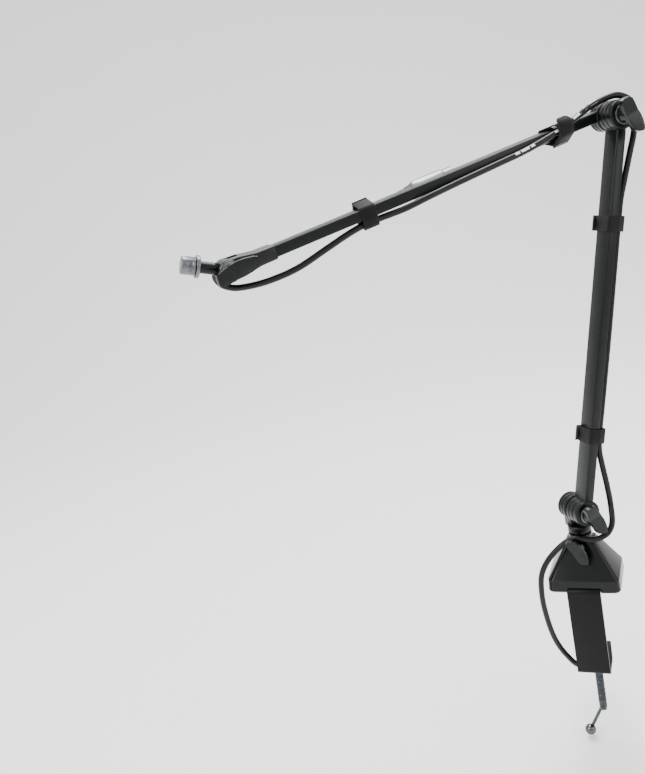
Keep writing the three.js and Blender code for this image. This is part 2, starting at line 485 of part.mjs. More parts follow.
const armRun = [[318, -9, 15.2], [294, -8.6, 15.2], [240, -8.8, 15.2], [180, -9, 15.2],
  [120, -8.8, 15.2], [82, -8.6, 15.2], [66, -10, 15.4]];
const armToPost = [[50, -14.5, 16.5], [29, -20.8, 18.5], [7.5, -26.5, 20]];
const postRun = [[34.2, -9.2, 72], [29, -15.5, 64.5], [18, -19.2, 60.4], [8, -20.2, 60.6]];
const baseRun = [[-3, -20.4, 62], [-12, -22, 58.6], [-21.5, -25, 51.6], [-33, -28.6, 39], [-40.4, -30, 24],
  [-43, -30, 6], [-43, -28, -20], [-38, -21.5, -60], [-29, -14, -86], [-19.5, -8, -101],
  [-12.6, 0.5, -102.6], [-12, 7, -102.4], [-12, 14, -102.4], [-13.5, 30, -104.5]];
function sweep(points, from, to, steps) {
  // round tube along part of one smooth run, from and to are distances along it
  const curve = new THREE.CatmullRomCurve3(points, false, 'centripetal');
  curve.arcLengthDivisions = 1200;
  const total = curve.getLength();
  const a = from / total, b = (to < 0 ? total + to : to) / total;
  class Piece extends THREE.Curve {
    getPoint(t, target = new THREE.Vector3()) { return curve.getPointAt(a + (b - a) * t, target); }
    getPointAt(t, target) { return this.getPoint(t, target); }
  }
  const ring = Array.from({ length: 8 }, (_, i) => {
    const t = ((i + 0.5) / 8) * 2 * Math.PI;
    return new THREE.Vector2(LEAD_R * Math.cos(t), LEAD_R * Math.sin(t));
  });
  return new THREE.ExtrudeGeometry(new THREE.Shape(ring), {
    steps, extrudePath: new Piece(), bevelEnabled: false });
}
// one continuous centreline, cut where the lead passes from one moving piece to the next
const runs = [
  ['lead_boom', boomRun.map(onBoom)],
  ['lead_elbow', [...overElbow.map(onBoom), ...downElbow.map(onArm)]],
  ['lead_arm', armRun.map(onArm)],
  ['lead_swivel', [...armToPost.map(onArm), ...postRun.map(inBase)]],
  ['lead_base', baseRun.map(inBase)],
];
const centre = runs.flatMap(([, p]) => p);
const whole = new THREE.CatmullRomCurve3(centre, false, 'centripetal');
whole.arcLengthDivisions = 1200;
const lengths = whole.getLengths(1200);
const span = centre.length - 1;
const lengthAt = (k) => lengths[Math.round((k / span) * 1200)];
let first = 0;
export const leadLengths = {};
runs.forEach(([name, pts], i) => {
  const last = first + pts.length - 1;
  // neighbouring pieces meet half way between their end points
  const a = i === 0 ? 0 : (lengthAt(first - 1) + lengthAt(first)) / 2 + GAP / 2;
  const b = i === runs.length - 1 ? lengths[1200]
    : (lengthAt(last) + lengthAt(last + 1)) / 2 - GAP / 2;
  leadLengths[name] = b - a;
  add(name, sweep(centre, a, b, Math.max(8, Math.round((b - a) / 14))), CORD);
  first = last + 1;
});

// connectors on the two ends of the lead, built along +Z away from the cable
function alongEnd(point, ahead) {
  const d = point.clone().sub(ahead).normalize();
  const q = new THREE.Quaternion().setFromUnitVectors(new THREE.Vector3(0, 0, 1), d);
  return mul(mv(point.x, point.y, point.z), M().makeRotationFromQuaternion(q));
}
const boot = cut(latheZ([[0, -2], [4.4, -2], [6.2, 16], [7.4, 22], [0, 22]], 24),
  cylZ(LEAD_R + GAP, -3, 14, 0, 0, 20));
const shell = (socket) => cut(
  latheZ([[0, 22.3], [7.6, 22.3], [9.3, 26], [9.5, 30], [9.5, 69.4], [9, 70], [0, 70]], 24),
  cylZ(socket, 52, 71, 0, 0, 28));
const pinsOf = (r, z1) => [90, 210, 330].map((a) =>
  cylZ(r, 51, z1, 4.2 * Math.cos(deg(a)), 4.2 * Math.sin(deg(a)), 10));
const startAt = alongEnd(centre[0], centre[1]);
const endAt = alongEnd(centre[centre.length - 1], centre[centre.length - 2]);
add('female_boot', boot, RUBBER, startAt);
add('female_shell', cut(
  latheZ([[0, 22.3], [7.6, 22.3], [9.3, 26], [9.5, 30], [9.5, 56], [8.2, 58], [8.2, 69.4],
    [7.6, 70], [0, 70]], 24), ...pinsOf(1.4, 71).map((p) => p.translate(0, 0, 6))),
STEEL, startAt, metal);
add('male_boot', boot, RUBBER, endAt);
add('male_shell', join(shell(8.1), ...pinsOf(1.2, 64)), STEEL, endAt, metal);

// clip under the lower leg that holds the lead
const clipX = -12, clipZ = -102.4;
add('lead_clip', cut(
  join(cylY(4.9, 3, 11, clipX, clipZ, 28),
    box(clipX - 4.9, clipX, 3, 11, LEG_Z - GAP - 1.2, LEG_Z - GAP)),
  cylY(LEAD_R + 0.45, 2, 12, clipX, clipZ, 28)), STEEL, WORLD, metal);

export default object;
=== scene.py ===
"""Visual model of a desk-clamp boom stand for a microphone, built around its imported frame.

Each sub-assembly is a class that shapes and dresses its own pieces: the clamp base, the clamp
screw, the swivel post, the two arms, the knobs, the tilting head, the loop straps and the lead.
"""

from __future__ import annotations

import json
import logging
import math
from collections.abc import Callable, Sequence
from dataclasses import dataclass, field
from enum import Enum
from typing import Any

import bmesh
import bpy
from mathutils import Matrix, Quaternion, Vector

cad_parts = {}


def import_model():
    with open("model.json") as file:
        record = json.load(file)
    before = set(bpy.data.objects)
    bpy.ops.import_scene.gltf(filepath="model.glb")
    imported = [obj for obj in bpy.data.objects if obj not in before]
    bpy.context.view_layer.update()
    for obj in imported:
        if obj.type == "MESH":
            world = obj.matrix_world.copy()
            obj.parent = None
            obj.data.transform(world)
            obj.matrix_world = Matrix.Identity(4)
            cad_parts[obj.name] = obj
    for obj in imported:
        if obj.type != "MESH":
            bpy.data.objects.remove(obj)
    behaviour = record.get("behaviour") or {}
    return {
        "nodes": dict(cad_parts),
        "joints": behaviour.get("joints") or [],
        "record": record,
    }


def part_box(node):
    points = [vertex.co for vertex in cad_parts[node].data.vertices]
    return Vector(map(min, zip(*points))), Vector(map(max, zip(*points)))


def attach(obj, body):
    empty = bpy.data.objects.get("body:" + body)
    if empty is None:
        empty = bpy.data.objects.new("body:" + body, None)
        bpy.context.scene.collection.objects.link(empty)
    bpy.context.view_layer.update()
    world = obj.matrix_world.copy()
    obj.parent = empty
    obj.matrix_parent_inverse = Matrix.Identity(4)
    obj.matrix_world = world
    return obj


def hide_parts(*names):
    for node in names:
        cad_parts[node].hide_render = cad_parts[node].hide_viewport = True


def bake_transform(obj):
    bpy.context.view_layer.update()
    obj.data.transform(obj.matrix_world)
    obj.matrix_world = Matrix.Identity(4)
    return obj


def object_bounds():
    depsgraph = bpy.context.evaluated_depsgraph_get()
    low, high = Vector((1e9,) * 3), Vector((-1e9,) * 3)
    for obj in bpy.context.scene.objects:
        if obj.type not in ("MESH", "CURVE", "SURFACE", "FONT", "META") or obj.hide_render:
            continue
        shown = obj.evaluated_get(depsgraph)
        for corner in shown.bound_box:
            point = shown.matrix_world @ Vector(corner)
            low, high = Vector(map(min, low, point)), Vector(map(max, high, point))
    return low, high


frame: dict[str, Any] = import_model()
CAD_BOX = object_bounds()

logging.basicConfig(level=logging.INFO, format="%(levelname)s %(message)s")
log = logging.getLogger("boom_stand")

NodeTree = bpy.types.NodeTree
Node = bpy.types.Node
Socket = bpy.types.NodeSocket
Material = bpy.types.Material
Mesh = bpy.types.Mesh
Piece = bpy.types.Object
Point = tuple[float, float, float]

MM = 0.001


# ---- colours and node building -------------------------------------------------------------


def linear(code: str) -> tuple[float, float, float, float]:
    """Turn an sRGB hex colour into linear RGBA.

    Args:
        code: Six hex digits, such as "1E2224".

    Returns:
        Linear red, green, blue and an alpha of one.
    """
    parts = [int(code[i : i + 2], 16) / 255 for i in (0, 2, 4)]
    lin = [c / 12.92 if c <= 0.04045 else ((c + 0.055) / 1.055) ** 2.4 for c in parts]
    return (lin[0], lin[1], lin[2], 1.0)


def add_node(
    tree: NodeTree,
    kind: str,
    settings: dict[Any, Any] | None = None,
    links: dict[Any, Any] | None = None,
) -> Node:
    """Add one node, set its values and link its inputs.

    Args:
        tree: The tree that takes the node.
        kind: The node's type name.
        settings: Input values by socket name or number, or node properties by name.
        links: Output sockets by the name or number of the input they feed.

    Returns:
        The new node.
    """
    node = tree.nodes.new(kind)
    for key, value in (settings or {}).items():
        if isinstance(key, str) and hasattr(node, key) and key not in node.inputs:
            setattr(node, key, value)
        else:
            node.inputs[key].default_value = value
    for key, source in (links or {}).items():
        tree.links.new(source, node.inputs[key])
    return node


def calc(tree: NodeTree, operation: str, *terms: Socket | float) -> Socket:
    """Return the result of a maths node whose terms are sockets or numbers."""
    links = {i: term for i, term in enumerate(terms) if isinstance(term, Socket)}
    numbers = {i: term for i, term in enumerate(terms) if i not in links}
    settings = {"operation": operation, **numbers}
    return add_node(tree, "ShaderNodeMath", settings, links).outputs[0]


# ---- finishes --------------------------------------------------------------------------------


@dataclass(frozen=True)
class Finish:
    """A surface finish: its colour, gloss and the grain that its making leaves.

    The black finishes take a lower index of refraction than the real plastics and coats
    have, so that a bright studio doesn't turn them grey.
    """

    name: str
    colour: str
    roughness: float
    metallic: float = 0.0
    grain_mm: float = 0.6
    grain_depth_mm: float = 0.02
    tint: float = 0.12
    ior: float = 1.5

    def make(self) -> Material:
        """Build the material once and return it."""
        found = bpy.data.materials.get(self.name)
        if found:
            return found
        material = bpy.data.materials.new(self.name)
        material.use_nodes = True
        tree = material.node_tree
        tree.nodes.clear()
        out = add_node(tree, "ShaderNodeOutputMaterial")
        shader = add_node(
            tree,
            "ShaderNodeBsdfPrincipled",
            {
                "Base Color": linear(self.colour),
                "Roughness": self.roughness,
                "Metallic": self.metallic,
            },
        )
        if self.metallic < 0.5:
            shader.inputs["IOR"].default_value = self.ior
        tree.links.new(shader.outputs["BSDF"], out.inputs["Surface"])
        place = add_node(tree, "ShaderNodeTexCoord").outputs["Object"]
        self.dress(tree, shader, place)
        return material

    def dress(self, tree: NodeTree, shader: Node, place: Socket) -> None:
        """Add the even moulded or coated grain that most finishes share.

        Args:
            tree: The material's node tree.
            shader: Its Principled shader.
            place: Object coordinates, in metres.
        """
        fine = self.noise(tree, place, self.grain_mm, 3.0)
        broad = self.noise(tree, place, 28.0, 2.0)
        self.vary_colour(tree, shader, broad, self.tint)
        self.vary_roughness(tree, shader, fine, broad)
        self.bump(tree, shader, fine, self.grain_depth_mm)

    @staticmethod
    def noise(tree: NodeTree, place: Socket, size_mm: float, detail: float) -> Socket:
        """Return noise whose lumps are about size_mm across."""
        return add_node(
            tree,
            "ShaderNodeTexNoise",
            {"Scale": 1 / (size_mm * MM), "Detail": detail, "Roughness": 0.55},
            {"Vector": place},
        ).outputs["Fac"]

    def vary_colour(self, tree: NodeTree, shader: Node, source: Socket, amount: float) -> None:
        """Let the base colour drift a little lighter and darker with the source."""
        red, green, blue, _ = linear(self.colour)
        ramp = add_node(tree, "ShaderNodeValToRGB", links={"Fac": source})
        low, high = 1 - amount, 1 + amount
        ramp.color_ramp.elements[0].position = 0.3
        ramp.color_ramp.elements[1].position = 0.7
        ramp.color_ramp.elements[0].color = (red * low, green * low, blue * low, 1)
        ramp.color_ramp.elements[1].color = (red * high, green * high, blue * high, 1)
        tree.links.new(ramp.outputs["Color"], shader.inputs["Base Color"])

    def vary_roughness(self, tree: NodeTree, shader: Node, fine: Socket, broad: Socket) -> None:
        """Mix fine grain and handling marks into the roughness."""
        mixed = calc(tree, "MULTIPLY_ADD", fine, 0.5, broad)
        spread = add_node(
            tree,
            "ShaderNodeMapRange",
            {
                "From Min": 0.45,
                "From Max": 1.05,
                "To Min": self.roughness * 0.88,
                "To Max": min(1.0, self.roughness * 1.14),
            },
            {"Value": mixed},
        ).outputs["Result"]
        tree.links.new(spread, shader.inputs["Roughness"])

    @staticmethod
    def bump(tree: NodeTree, shader: Node, height: Socket, depth_mm: float) -> None:
        """Raise the surface by up to depth_mm with the height."""
        relief = add_node(
            tree,
            "ShaderNodeBump",
            {"Distance": depth_mm * MM, "Strength": 1.0},
            {"Height": height},
        )
        tree.links.new(relief.outputs["Normal"], shader.inputs["Normal"])


@dataclass(frozen=True)
class PowderCoatedSteel(Finish):
    """Satin powder coat over steel: a soft orange-peel sheen that dims every reflection."""

    grain_mm: float = 0.8
    grain_depth_mm: float = 0.012

    def dress(self, tree: NodeTree, shader: Node, place: Socket) -> None:
        """Dress as any finish, but with coarse orange peel as the relief."""
        super().dress(tree, shader, place)
        # real peel is about 0.7 mm across; it is drawn at 1.4 mm so that it shows
        peel = self.noise(tree, place, 1.4, 1.0)
        self.bump(tree, shader, peel, self.grain_depth_mm * 1.6)


@dataclass(frozen=True)
class BrushedSteel(Finish):
    """Zinc-plated turned steel: fine circular scratches that streak the highlight."""

    metallic: float = 1.0
    grain_mm: float = 0.5
    grain_depth_mm: float = 0.004
    tint: float = 0.08

    def dress(self, tree: NodeTree, shader: Node, place: Socket) -> None:
        """Stretch the noise so that it reads as tool marks."""
        stretched = add_node(
            tree, "ShaderNodeMapping", {"Scale": (1.0, 1.0, 9.0)}, {"Vector": place}
        ).outputs["Vector"]
        marks = self.noise(tree, stretched, self.grain_mm, 4.0)
        broad = self.noise(tree, place, 9.0, 2.0)
        self.vary_colour(tree, shader, broad, self.tint)
        self.vary_roughness(tree, shader, marks, broad)
        self.bump(tree, shader, marks, self.grain_depth_mm)


@dataclass(frozen=True)
class WovenLoopCloth(Finish):
    """Nylon hook-and-loop tape: matt napped loops over a fine cross weave."""

    thread_mm: float = 0.9

    def dress(self, tree: NodeTree, shader: Node, place: Socket) -> None:
        """Weave two thread directions in the strap's own run and width, then nap them."""
        run = add_node(tree, "ShaderNodeAttribute", {"attribute_name": "weave"}).outputs["Vector"]
        waves = []
        for axis in ("X", "Y"):
            # threads are 0.4 mm in the real tape and drawn at 0.9 mm so that they show
            wave = add_node(
                tree,
                "ShaderNodeTexWave",
                {
                    "wave_type": "BANDS",
                    "bands_direction": axis,
                    "Scale": 1 / (self.thread_mm * MM) / 20 * math.pi,
                    "Distortion": 0.6,
                    "Detail": 1.0,
                },
                {"Vector": run},
            )
            waves.append(wave.outputs["Fac"])
        weave = calc(tree, "MAXIMUM", *waves)
        nap = self.noise(tree, place, 0.7, 4.0)
        height = calc(tree, "MULTIPLY_ADD", weave, 0.6, nap)
        self.vary_colour(tree, shader, nap, self.tint)
        self.bump(tree, shader, height, self.grain_depth_mm)
        shader.inputs["Sheen Weight"].default_value = 0.08
        shader.inputs["Sheen Roughness"].default_value = 0.5


@dataclass(frozen=True)
class MarkedSheath(Finish):
    """Extruded soft PVC lead: satin black, with a short run of plain pale dashes."""

    dashes: tuple[tuple[float, float], ...] = ()
    mark_colour: str = "D9DAD8"
    # shares of a full turn round the lead: the dashes' middle and half their height
    mark_turn: float = 0.74
    mark_half_turn: float = 0.065

    def dress(self, tree: NodeTree, shader: Node, place: Socket) -> None:
        """Print dashes where both the run along the lead and the turn round it match."""
        super().dress(tree, shader, place)
        run = add_node(tree, "ShaderNodeAttribute", {"attribute_name": "run"}).outputs["Vector"]
        split = add_node(tree, "ShaderNodeSeparateXYZ", links={0: run})
        total = None
        for start, end in self.dashes:
            middle, half = (start + end) / 2 * MM, (end - start) / 2 * MM
            dash = calc(tree, "COMPARE", split.outputs["X"], middle, half)
            total = calc(tree, "MAXIMUM", total, dash) if total else dash
        around = calc(tree, "COMPARE", split.outputs["Y"], self.mark_turn, self.mark_half_turn)
        mask = calc(tree, "MULTIPLY", total, around)
        base = shader.inputs["Base Color"].links[0].from_socket
        mixed = add_node(tree, "ShaderNodeMix", {"data_type": "RGBA"})
        colour_a, colour_b = (s for s in mixed.inputs if s.type == "RGBA")
        colour_b.default_value = linear(self.mark_colour)
        result = next(s for s in mixed.outputs if s.type == "RGBA")
        tree.links.new(mask, mixed.inputs["Factor"])
        tree.links.new(base, colour_a)
        tree.links.new(result, shader.inputs["Base Color"])


class Look(Enum):
    """The finishes used on the stand, by the maker's name for each."""

    # satin sheen along each tube face, deep black between highlights
    COATED_TUBE = PowderCoatedSteel(
        "satin_powder_coated_steel", "0A0E0F", 0.30, grain_depth_mm=0.010, ior=1.29
    )
    # the flattest and darkest surface: the clamp reads as one black shape
    COATED_CLAMP = PowderCoatedSteel("black_coated_clamp_steel", "020303", 0.42, ior=1.26)
    # soft moulded sheen that shows the knuckles' steps
    KNUCKLE = Finish("moulded_glass_filled_nylon", "080B0C", 0.30, grain_mm=0.5, ior=1.31)
    # the glossiest plastic: bright edges between the cover's slopes
    COVER = Finish(
        "moulded_abs_cover", "060809", 0.22, grain_mm=0.9, grain_depth_mm=0.010, ior=1.31
    )
    # a little greyer than the knuckles, so that the paddles stand out
    KNOB = Finish("moulded_knob_nylon", "0A0D0E", 0.26, grain_depth_mm=0.012, ior=1.35)
    FORK = Finish("moulded_fork_nylon", "0D1011", 0.28, grain_depth_mm=0.012, ior=1.35)
    # small grey metal glints: washers, ring and stud, then the screw and its rod
    ZINC = BrushedSteel("zinc_plated_steel", "6A6D70", 0.28, tint=0.06)
    CLAMP_STEEL = BrushedSteel("darkened_clamp_steel", "44474A", 0.24)
    DARK_STEEL = BrushedSteel("blackened_steel", "1E2022", 0.34)
    # a near mirror that gathers the studio into the small ball
    CHROME = BrushedSteel(
        "smoked_chrome", "5C5F62", 0.08, grain_mm=2.0, grain_depth_mm=0.0006, tint=0.02
    )
    NICKEL = BrushedSteel(
        "satin_nickel_shell", "7E8183", 0.30, grain_mm=0.6, grain_depth_mm=0.003, tint=0.05
    )
    # the one warm colour, seen only in the nuts and the clamp's insert
    BRASS = BrushedSteel("turned_brass", "B08D4A", 0.30, tint=0.05)
    # matt grip surfaces that catch almost no light
    RUBBER = Finish(
        "moulded_rubber_pad", "060707", 0.72, grain_mm=0.9, grain_depth_mm=0.03, ior=1.35
    )
    BOOT = Finish("moulded_connector_boot", "050606", 0.45, ior=1.38)
    NYLON = Finish("natural_nylon", "D5D2C6", 0.45, grain_mm=0.7, grain_depth_mm=0.01, tint=0.04)
    # matt black nap, and pale sewn rows at the slot: light-grey edging that is partly a painted
    # highlight
    STRAP = WovenLoopCloth(
        "woven_hook_and_loop", "040505", 0.8, grain_mm=0.7, grain_depth_mm=0.12, tint=0.25, ior=1.3
    )
    # pale rows at the strap slot: light-grey edging, with the slot edges' highlight painted into
    # the same pale colour
    THREAD = Finish("pale_sewing_thread", "B9BBBA", 0.7, grain_mm=0.5, grain_depth_mm=0.03)
    # soft black gloss broken by a few plain pale dashes, in millimetres along the lead
    SHEATH = MarkedSheath(
        "extruded_pvc_sheath",
        "030404",
        0.36,
        grain_mm=1.2,
        grain_depth_mm=0.008,
        ior=1.36,
        dashes=(
            (506, 511), (513, 522), (524, 528),
            (552, 556), (560, 566), (569, 572), (575, 585), (589, 592), (596, 604),
        ),
    )
    FLOOR = Finish(
        "plain_studio_floor", "F4F4F3", 0.9, grain_mm=4.0, grain_depth_mm=0.0, tint=0.0
    )

    def material(self) -> Material:
        """Return the finish's material."""
        return self.value.make()


# ---- mesh building ---------------------------------------------------------------------------


def linked(name: str, data: Any) -> Piece:
    """Make an object for the data and put it in the scene."""
    made = bpy.data.objects.new(name, data)
    bpy.context.scene.collection.objects.link(made)
    return made


def mesh_piece(
    name: str,
    points: Sequence[Sequence[float]],
    faces: Sequence[Sequence[int]],
    look: Look,
    sharp: float = 35.0,
) -> Piece:
    """Make a mesh object at the origin from points in metres.

    Args:
        name: The piece's name.
        points: Its corners in the row frame.
        faces: Corner numbers of each face.
        look: The finish it takes.
        sharp: Edges that turn more than this many degrees stay crisp.

    Returns:
        The new object, with its faces pointing outward.
    """
    mesh = bpy.data.meshes.new(name)
    mesh.from_pydata([tuple(p) for p in points], [], [tuple(f) for f in faces])
    piece = linked(name, mesh)
    close_up(mesh, sharp)
    mesh.materials.append(look.material())
    return piece


def close_up(mesh: Mesh, sharp: float) -> None:
    """Merge doubles, point the faces outward and mark the crisp edges."""
    work = bmesh.new()
    work.from_mesh(mesh)
    bmesh.ops.remove_doubles(work, verts=work.verts, dist=1e-6)
    bmesh.ops.recalc_face_normals(work, faces=work.faces)
    shade(work, sharp)
    work.to_mesh(mesh)
    work.free()


def shade(work: bmesh.types.BMesh, sharp: float) -> None:
    """Smooth every face and leave edges sharper than the angle crisp."""
    limit = math.radians(sharp)
    for face in work.faces:
        face.smooth = True
    for edge in work.edges:
        edge.smooth = edge.is_manifold and edge.calc_face_angle(0.0) < limit


def baked(piece: Piece, sharp: float = 35.0) -> Piece:
    """Turn a piece's modifiers into plain mesh.

    Args:
        piece: The object whose modifiers are finished.
        sharp: Edges that turn more than this many degrees stay crisp.

    Returns:
        The same object with a plain mesh, or a new one where it was a curve.
    """
    bpy.context.view_layer.update()
    graph = bpy.context.evaluated_depsgraph_get()
    mesh = bpy.data.meshes.new_from_object(
        piece.evaluated_get(graph), preserve_all_data_layers=True, depsgraph=graph
    )
    work = bmesh.new()
    work.from_mesh(mesh)
    shade(work, sharp)
    work.to_mesh(mesh)
    work.free()
    if piece.type == "MESH":
        piece.modifiers.clear()
        piece.data = mesh
        return piece
    name = piece.name
    bpy.data.objects.remove(piece)
    made = linked(name, mesh)
    return made


def softened(
    node: str, name: str, look: Look, edge_mm: float = 0.4, segments: int = 2, sharp: float = 30.0
) -> Piece:
    """Copy a CAD node and round its edges the way a moulded or tumbled piece has them.

    Args:
        node: The CAD node to copy.
        name: The new piece's name.
        look: The finish it takes.
        edge_mm: Radius given to every crisp edge.
        segments: Steps across each rounded edge.
        sharp: Only edges that turn more than this many degrees are rounded.

    Returns:
        The piece, which replaces the node and rides on its body.
    """
    source = frame["nodes"][node]
    mesh = source.data.copy()
    mesh.name = name
    piece = linked(name, mesh)
    work = bmesh.new()
    work.from_mesh(mesh)
    bmesh.ops.remove_doubles(work, verts=work.verts, dist=2e-6)
    bmesh.ops.dissolve_limit(
        work, angle_limit=math.radians(0.8), verts=work.verts, edges=work.edges
    )
    work.to_mesh(mesh)
    work.free()
    mesh.materials.clear()
    mesh.materials.append(look.material())
    bevel = piece.modifiers.new("edge", "BEVEL")
    bevel.width = edge_mm * MM
    bevel.segments = segments
    bevel.limit_method = "ANGLE"
    bevel.angle_limit = math.radians(sharp)
    bevel.use_clamp_overlap = True
    bevel.miter_outer = "MITER_ARC"
    piece = baked(piece, 50.0)
    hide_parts(node)
    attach(piece, body_of_node(node))
    return piece


def body_of_node(node: str) -> str:
    """Return the body that holds a CAD node."""
    bodies: dict[str, list[str]] = frame["record"]["behaviour"]["bodies"]
    return next(body for body, members in bodies.items() if node in members)


def stands_for(piece: Piece, *nodes: str) -> Piece:
    """Let a piece replace CAD nodes of one body and ride on that body."""
    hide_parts(*nodes)
    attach(piece, body_of_node(nodes[0]))
    return piece


def turned(
    name: str,
    profile: Sequence[tuple[float, float]],
    look: Look,
    place: Matrix,
    steps: int = 48,
) -> Piece:
    """Turn a profile about local Z into a closed piece.

    Args:
        name: The piece's name.
        profile: Radius and height pairs in millimetres, from axis to axis or a closed ring.
        look: The finish it takes.
        place: Where local millimetres go in the row frame.
        steps: Facets around.

    Returns:
        The new object.
    """
    points: list[Vector] = []
    rings: list[list[int]] = []
    for radius, height in profile:
        if radius < 1e-6:
            rings.append([len(points)])
            points.append(place @ Vector((0, 0, height)))
            continue
        ring = []
        for i in range(steps):
            turn = math.tau * i / steps
            ring.append(len(points))
            points.append(
                place @ Vector((radius * math.cos(turn), radius * math.sin(turn), height))
            )
        rings.append(ring)
    faces: list[list[int]] = []
    for low, high in zip(rings, rings[1:]):
        for i in range(steps):
            j = (i + 1) % steps
            if len(low) == 1 and len(high) > 1:
                faces.append([low[0], high[i], high[j]])
            elif len(high) == 1 and len(low) > 1:
                faces.append([low[i], low[j], high[0]])
            elif len(low) > 1:
                faces.append([low[i], low[j], high[j], high[i]])
    return mesh_piece(name, points, faces, look)


# ---- geometry node trees ---------------------------------------------------------------------


@dataclass
class ShapeTree:
    """A Geometry Nodes tree with named inputs, used once and turned into plain mesh."""

    name: str
    inputs: dict[str, tuple[str, Any]]
    build: Callable[[NodeTree, Node], Socket]

    def tree(self) -> NodeTree:
        """Build the tree, or return the one already built under this name."""
        found = bpy.data.node_groups.get(self.name)
        if found:
            return found
        tree = bpy.data.node_groups.new(self.name, "GeometryNodeTree")
        tree.interface.new_socket("Geometry", in_out="INPUT", socket_type="NodeSocketGeometry")
        for label, (kind, value) in self.inputs.items():
            socket = tree.interface.new_socket(label, in_out="INPUT", socket_type=kind)
            if value is not None:
                socket.default_value = value
        tree.interface.new_socket("Geometry", in_out="OUTPUT", socket_type="NodeSocketGeometry")
        start = add_node(tree, "NodeGroupInput")
        shape = self.build(tree, start)
        real = add_node(tree, "GeometryNodeRealizeInstances", links={0: shape})
        dressed = add_node(
            tree,
            "GeometryNodeSetMaterial",
            links={"Geometry": real.outputs[0], "Material": start.outputs["Finish"]},
        )
        end = add_node(tree, "NodeGroupOutput")
        tree.links.new(dressed.outputs[0], end.inputs[0])
        return tree

    def apply(self, piece: Piece, look: Look, values: dict[str, Any] | None = None) -> Piece:
        """Run the tree on a piece and turn the result into plain mesh.

        Args:
            piece: A mesh or curve object at the origin.
            look: The finish the result takes.
            values: Values of the tree's named inputs.

        Returns:
            The finished mesh object.
        """
        modifier = piece.modifiers.new(self.name, "NODES")
        modifier.node_group = self.tree()
        named = {**(values or {}), "Finish": look.material()}
        for item in modifier.node_group.interface.items_tree:
            if item.in_out == "INPUT" and item.name in named:
                modifier[item.identifier] = named[item.name]
        made = baked(piece)
        made.data.materials.clear()
        made.data.materials.append(look.material())
        return made


def curve_through(name: str, points: Sequence[Vector], closed: bool = False) -> Piece:
    """Make a poly curve object through points in metres."""
    data = bpy.data.curves.new(name, "CURVE")
    data.dimensions = "3D"
    spline = data.splines.new("POLY")
    spline.points.add(len(points) - 1)
    spline.use_cyclic_u = closed
    for knot, point in zip(spline.points, points):
        knot.co = (*point, 1.0)
    made = linked(name, data)
    return made


def stored(tree: NodeTree, name: str, kind: str, shape: Socket, value: Socket) -> Socket:
    """Return the geometry with a value stored on its points as a named attribute."""
    settings = {"data_type": kind, "domain": "POINT", "Name": name}
    links = {"Geometry": shape, "Value": value}
    return add_node(tree, "GeometryNodeStoreNamedAttribute", settings, links).outputs[0]


def build_sheath(tree: NodeTree, start: Node) -> Socket:
    """Sweep a round sheath along the curve, with its run stored as an attribute."""
    along = add_node(tree, "GeometryNodeSplineParameter").outputs["Length"]
    shifted = calc(tree, "ADD", along, start.outputs["Run Start"])
    marked = stored(tree, "run_along", "FLOAT", start.outputs["Geometry"], shifted)
    ring = add_node(
        tree,
        "GeometryNodeCurvePrimitiveCircle",
        {"Resolution": 20},
        {"Radius": start.outputs["Radius"]},
    )
    turn = add_node(tree, "GeometryNodeSplineParameter").outputs["Factor"]
    marked_ring = stored(tree, "run_around", "FLOAT", ring.outputs["Curve"], turn)
    tube = add_node(
        tree,
        "GeometryNodeCurveToMesh",
        {"Fill Caps": True},
        {"Curve": marked, "Profile Curve": marked_ring},
    )
    reads = [
        add_node(tree, "GeometryNodeInputNamedAttribute", {"data_type": "FLOAT", "Name": label})
        for label in ("run_along", "run_around")
    ]
    pair = add_node(
        tree,
        "ShaderNodeCombineXYZ",
        links={"X": reads[0].outputs[0], "Y": reads[1].outputs[0]},
    )
    return stored(tree, "run", "FLOAT_VECTOR", tube.outputs[0], pair.outputs[0])


def build_thread(tree: NodeTree, start: Node) -> Socket:
    """Wind a ridge round the curve's own core to make a screw thread."""
    ridge = add_node(
        tree,
        "GeometryNodeCurvePrimitiveCircle",
        {"Resolution": 4},
        {"Radius": start.outputs["Ridge"]},
    )
    coil = add_node(
        tree,
        "GeometryNodeCurveToMesh",
        {"Fill Caps": True},
        {"Curve": start.outputs["Geometry"], "Profile Curve": ridge.outputs["Curve"]},
    )
    return coil.outputs[0]


def build_row(tree: NodeTree, start: Node) -> Socket:
    """Set a small piece at even steps along the curve, turned to follow it."""
    even = add_node(
        tree,
        "GeometryNodeResampleCurve",
        {"mode": "LENGTH"},
        {"Curve": start.outputs["Geometry"], "Length": start.outputs["Pitch"]},
    )
    tangent = add_node(tree, "GeometryNodeInputTangent").outputs[0]
    turn = add_node(
        tree,
        "FunctionNodeAlignRotationToVector",
        {"axis": "X"},
        {"Vector": tangent},
    ).outputs[0]
    info = add_node(
        tree,
        "GeometryNodeObjectInfo",
        {"transform_space": "ORIGINAL"},
        {"Object": start.outputs["Piece"]},
    )
    return add_node(
        tree,
        "GeometryNodeInstanceOnPoints",
        links={"Points": even.outputs[0], "Instance": info.outputs["Geometry"], "Rotation": turn},
    ).outputs[0]


SHEATH_TREE = ShapeTree(
    "sheath_along_route",
    {
        "Radius": ("NodeSocketFloat", 0.003),
        "Run Start": ("NodeSocketFloat", 0.0),
        "Finish": ("NodeSocketMaterial", None),
    },
    build_sheath,
)
THREAD_TREE = ShapeTree(
    "screw_thread",
    {"Ridge": ("NodeSocketFloat", 0.0006), "Finish": ("NodeSocketMaterial", None)},
    build_thread,
)
ROW_TREE = ShapeTree(
    "row_of_small_pieces",
    {
        "Pitch": ("NodeSocketFloat", 0.002),
        "Piece": ("NodeSocketObject", None),
        "Finish": ("NodeSocketMaterial", None),
    },
    build_row,
)


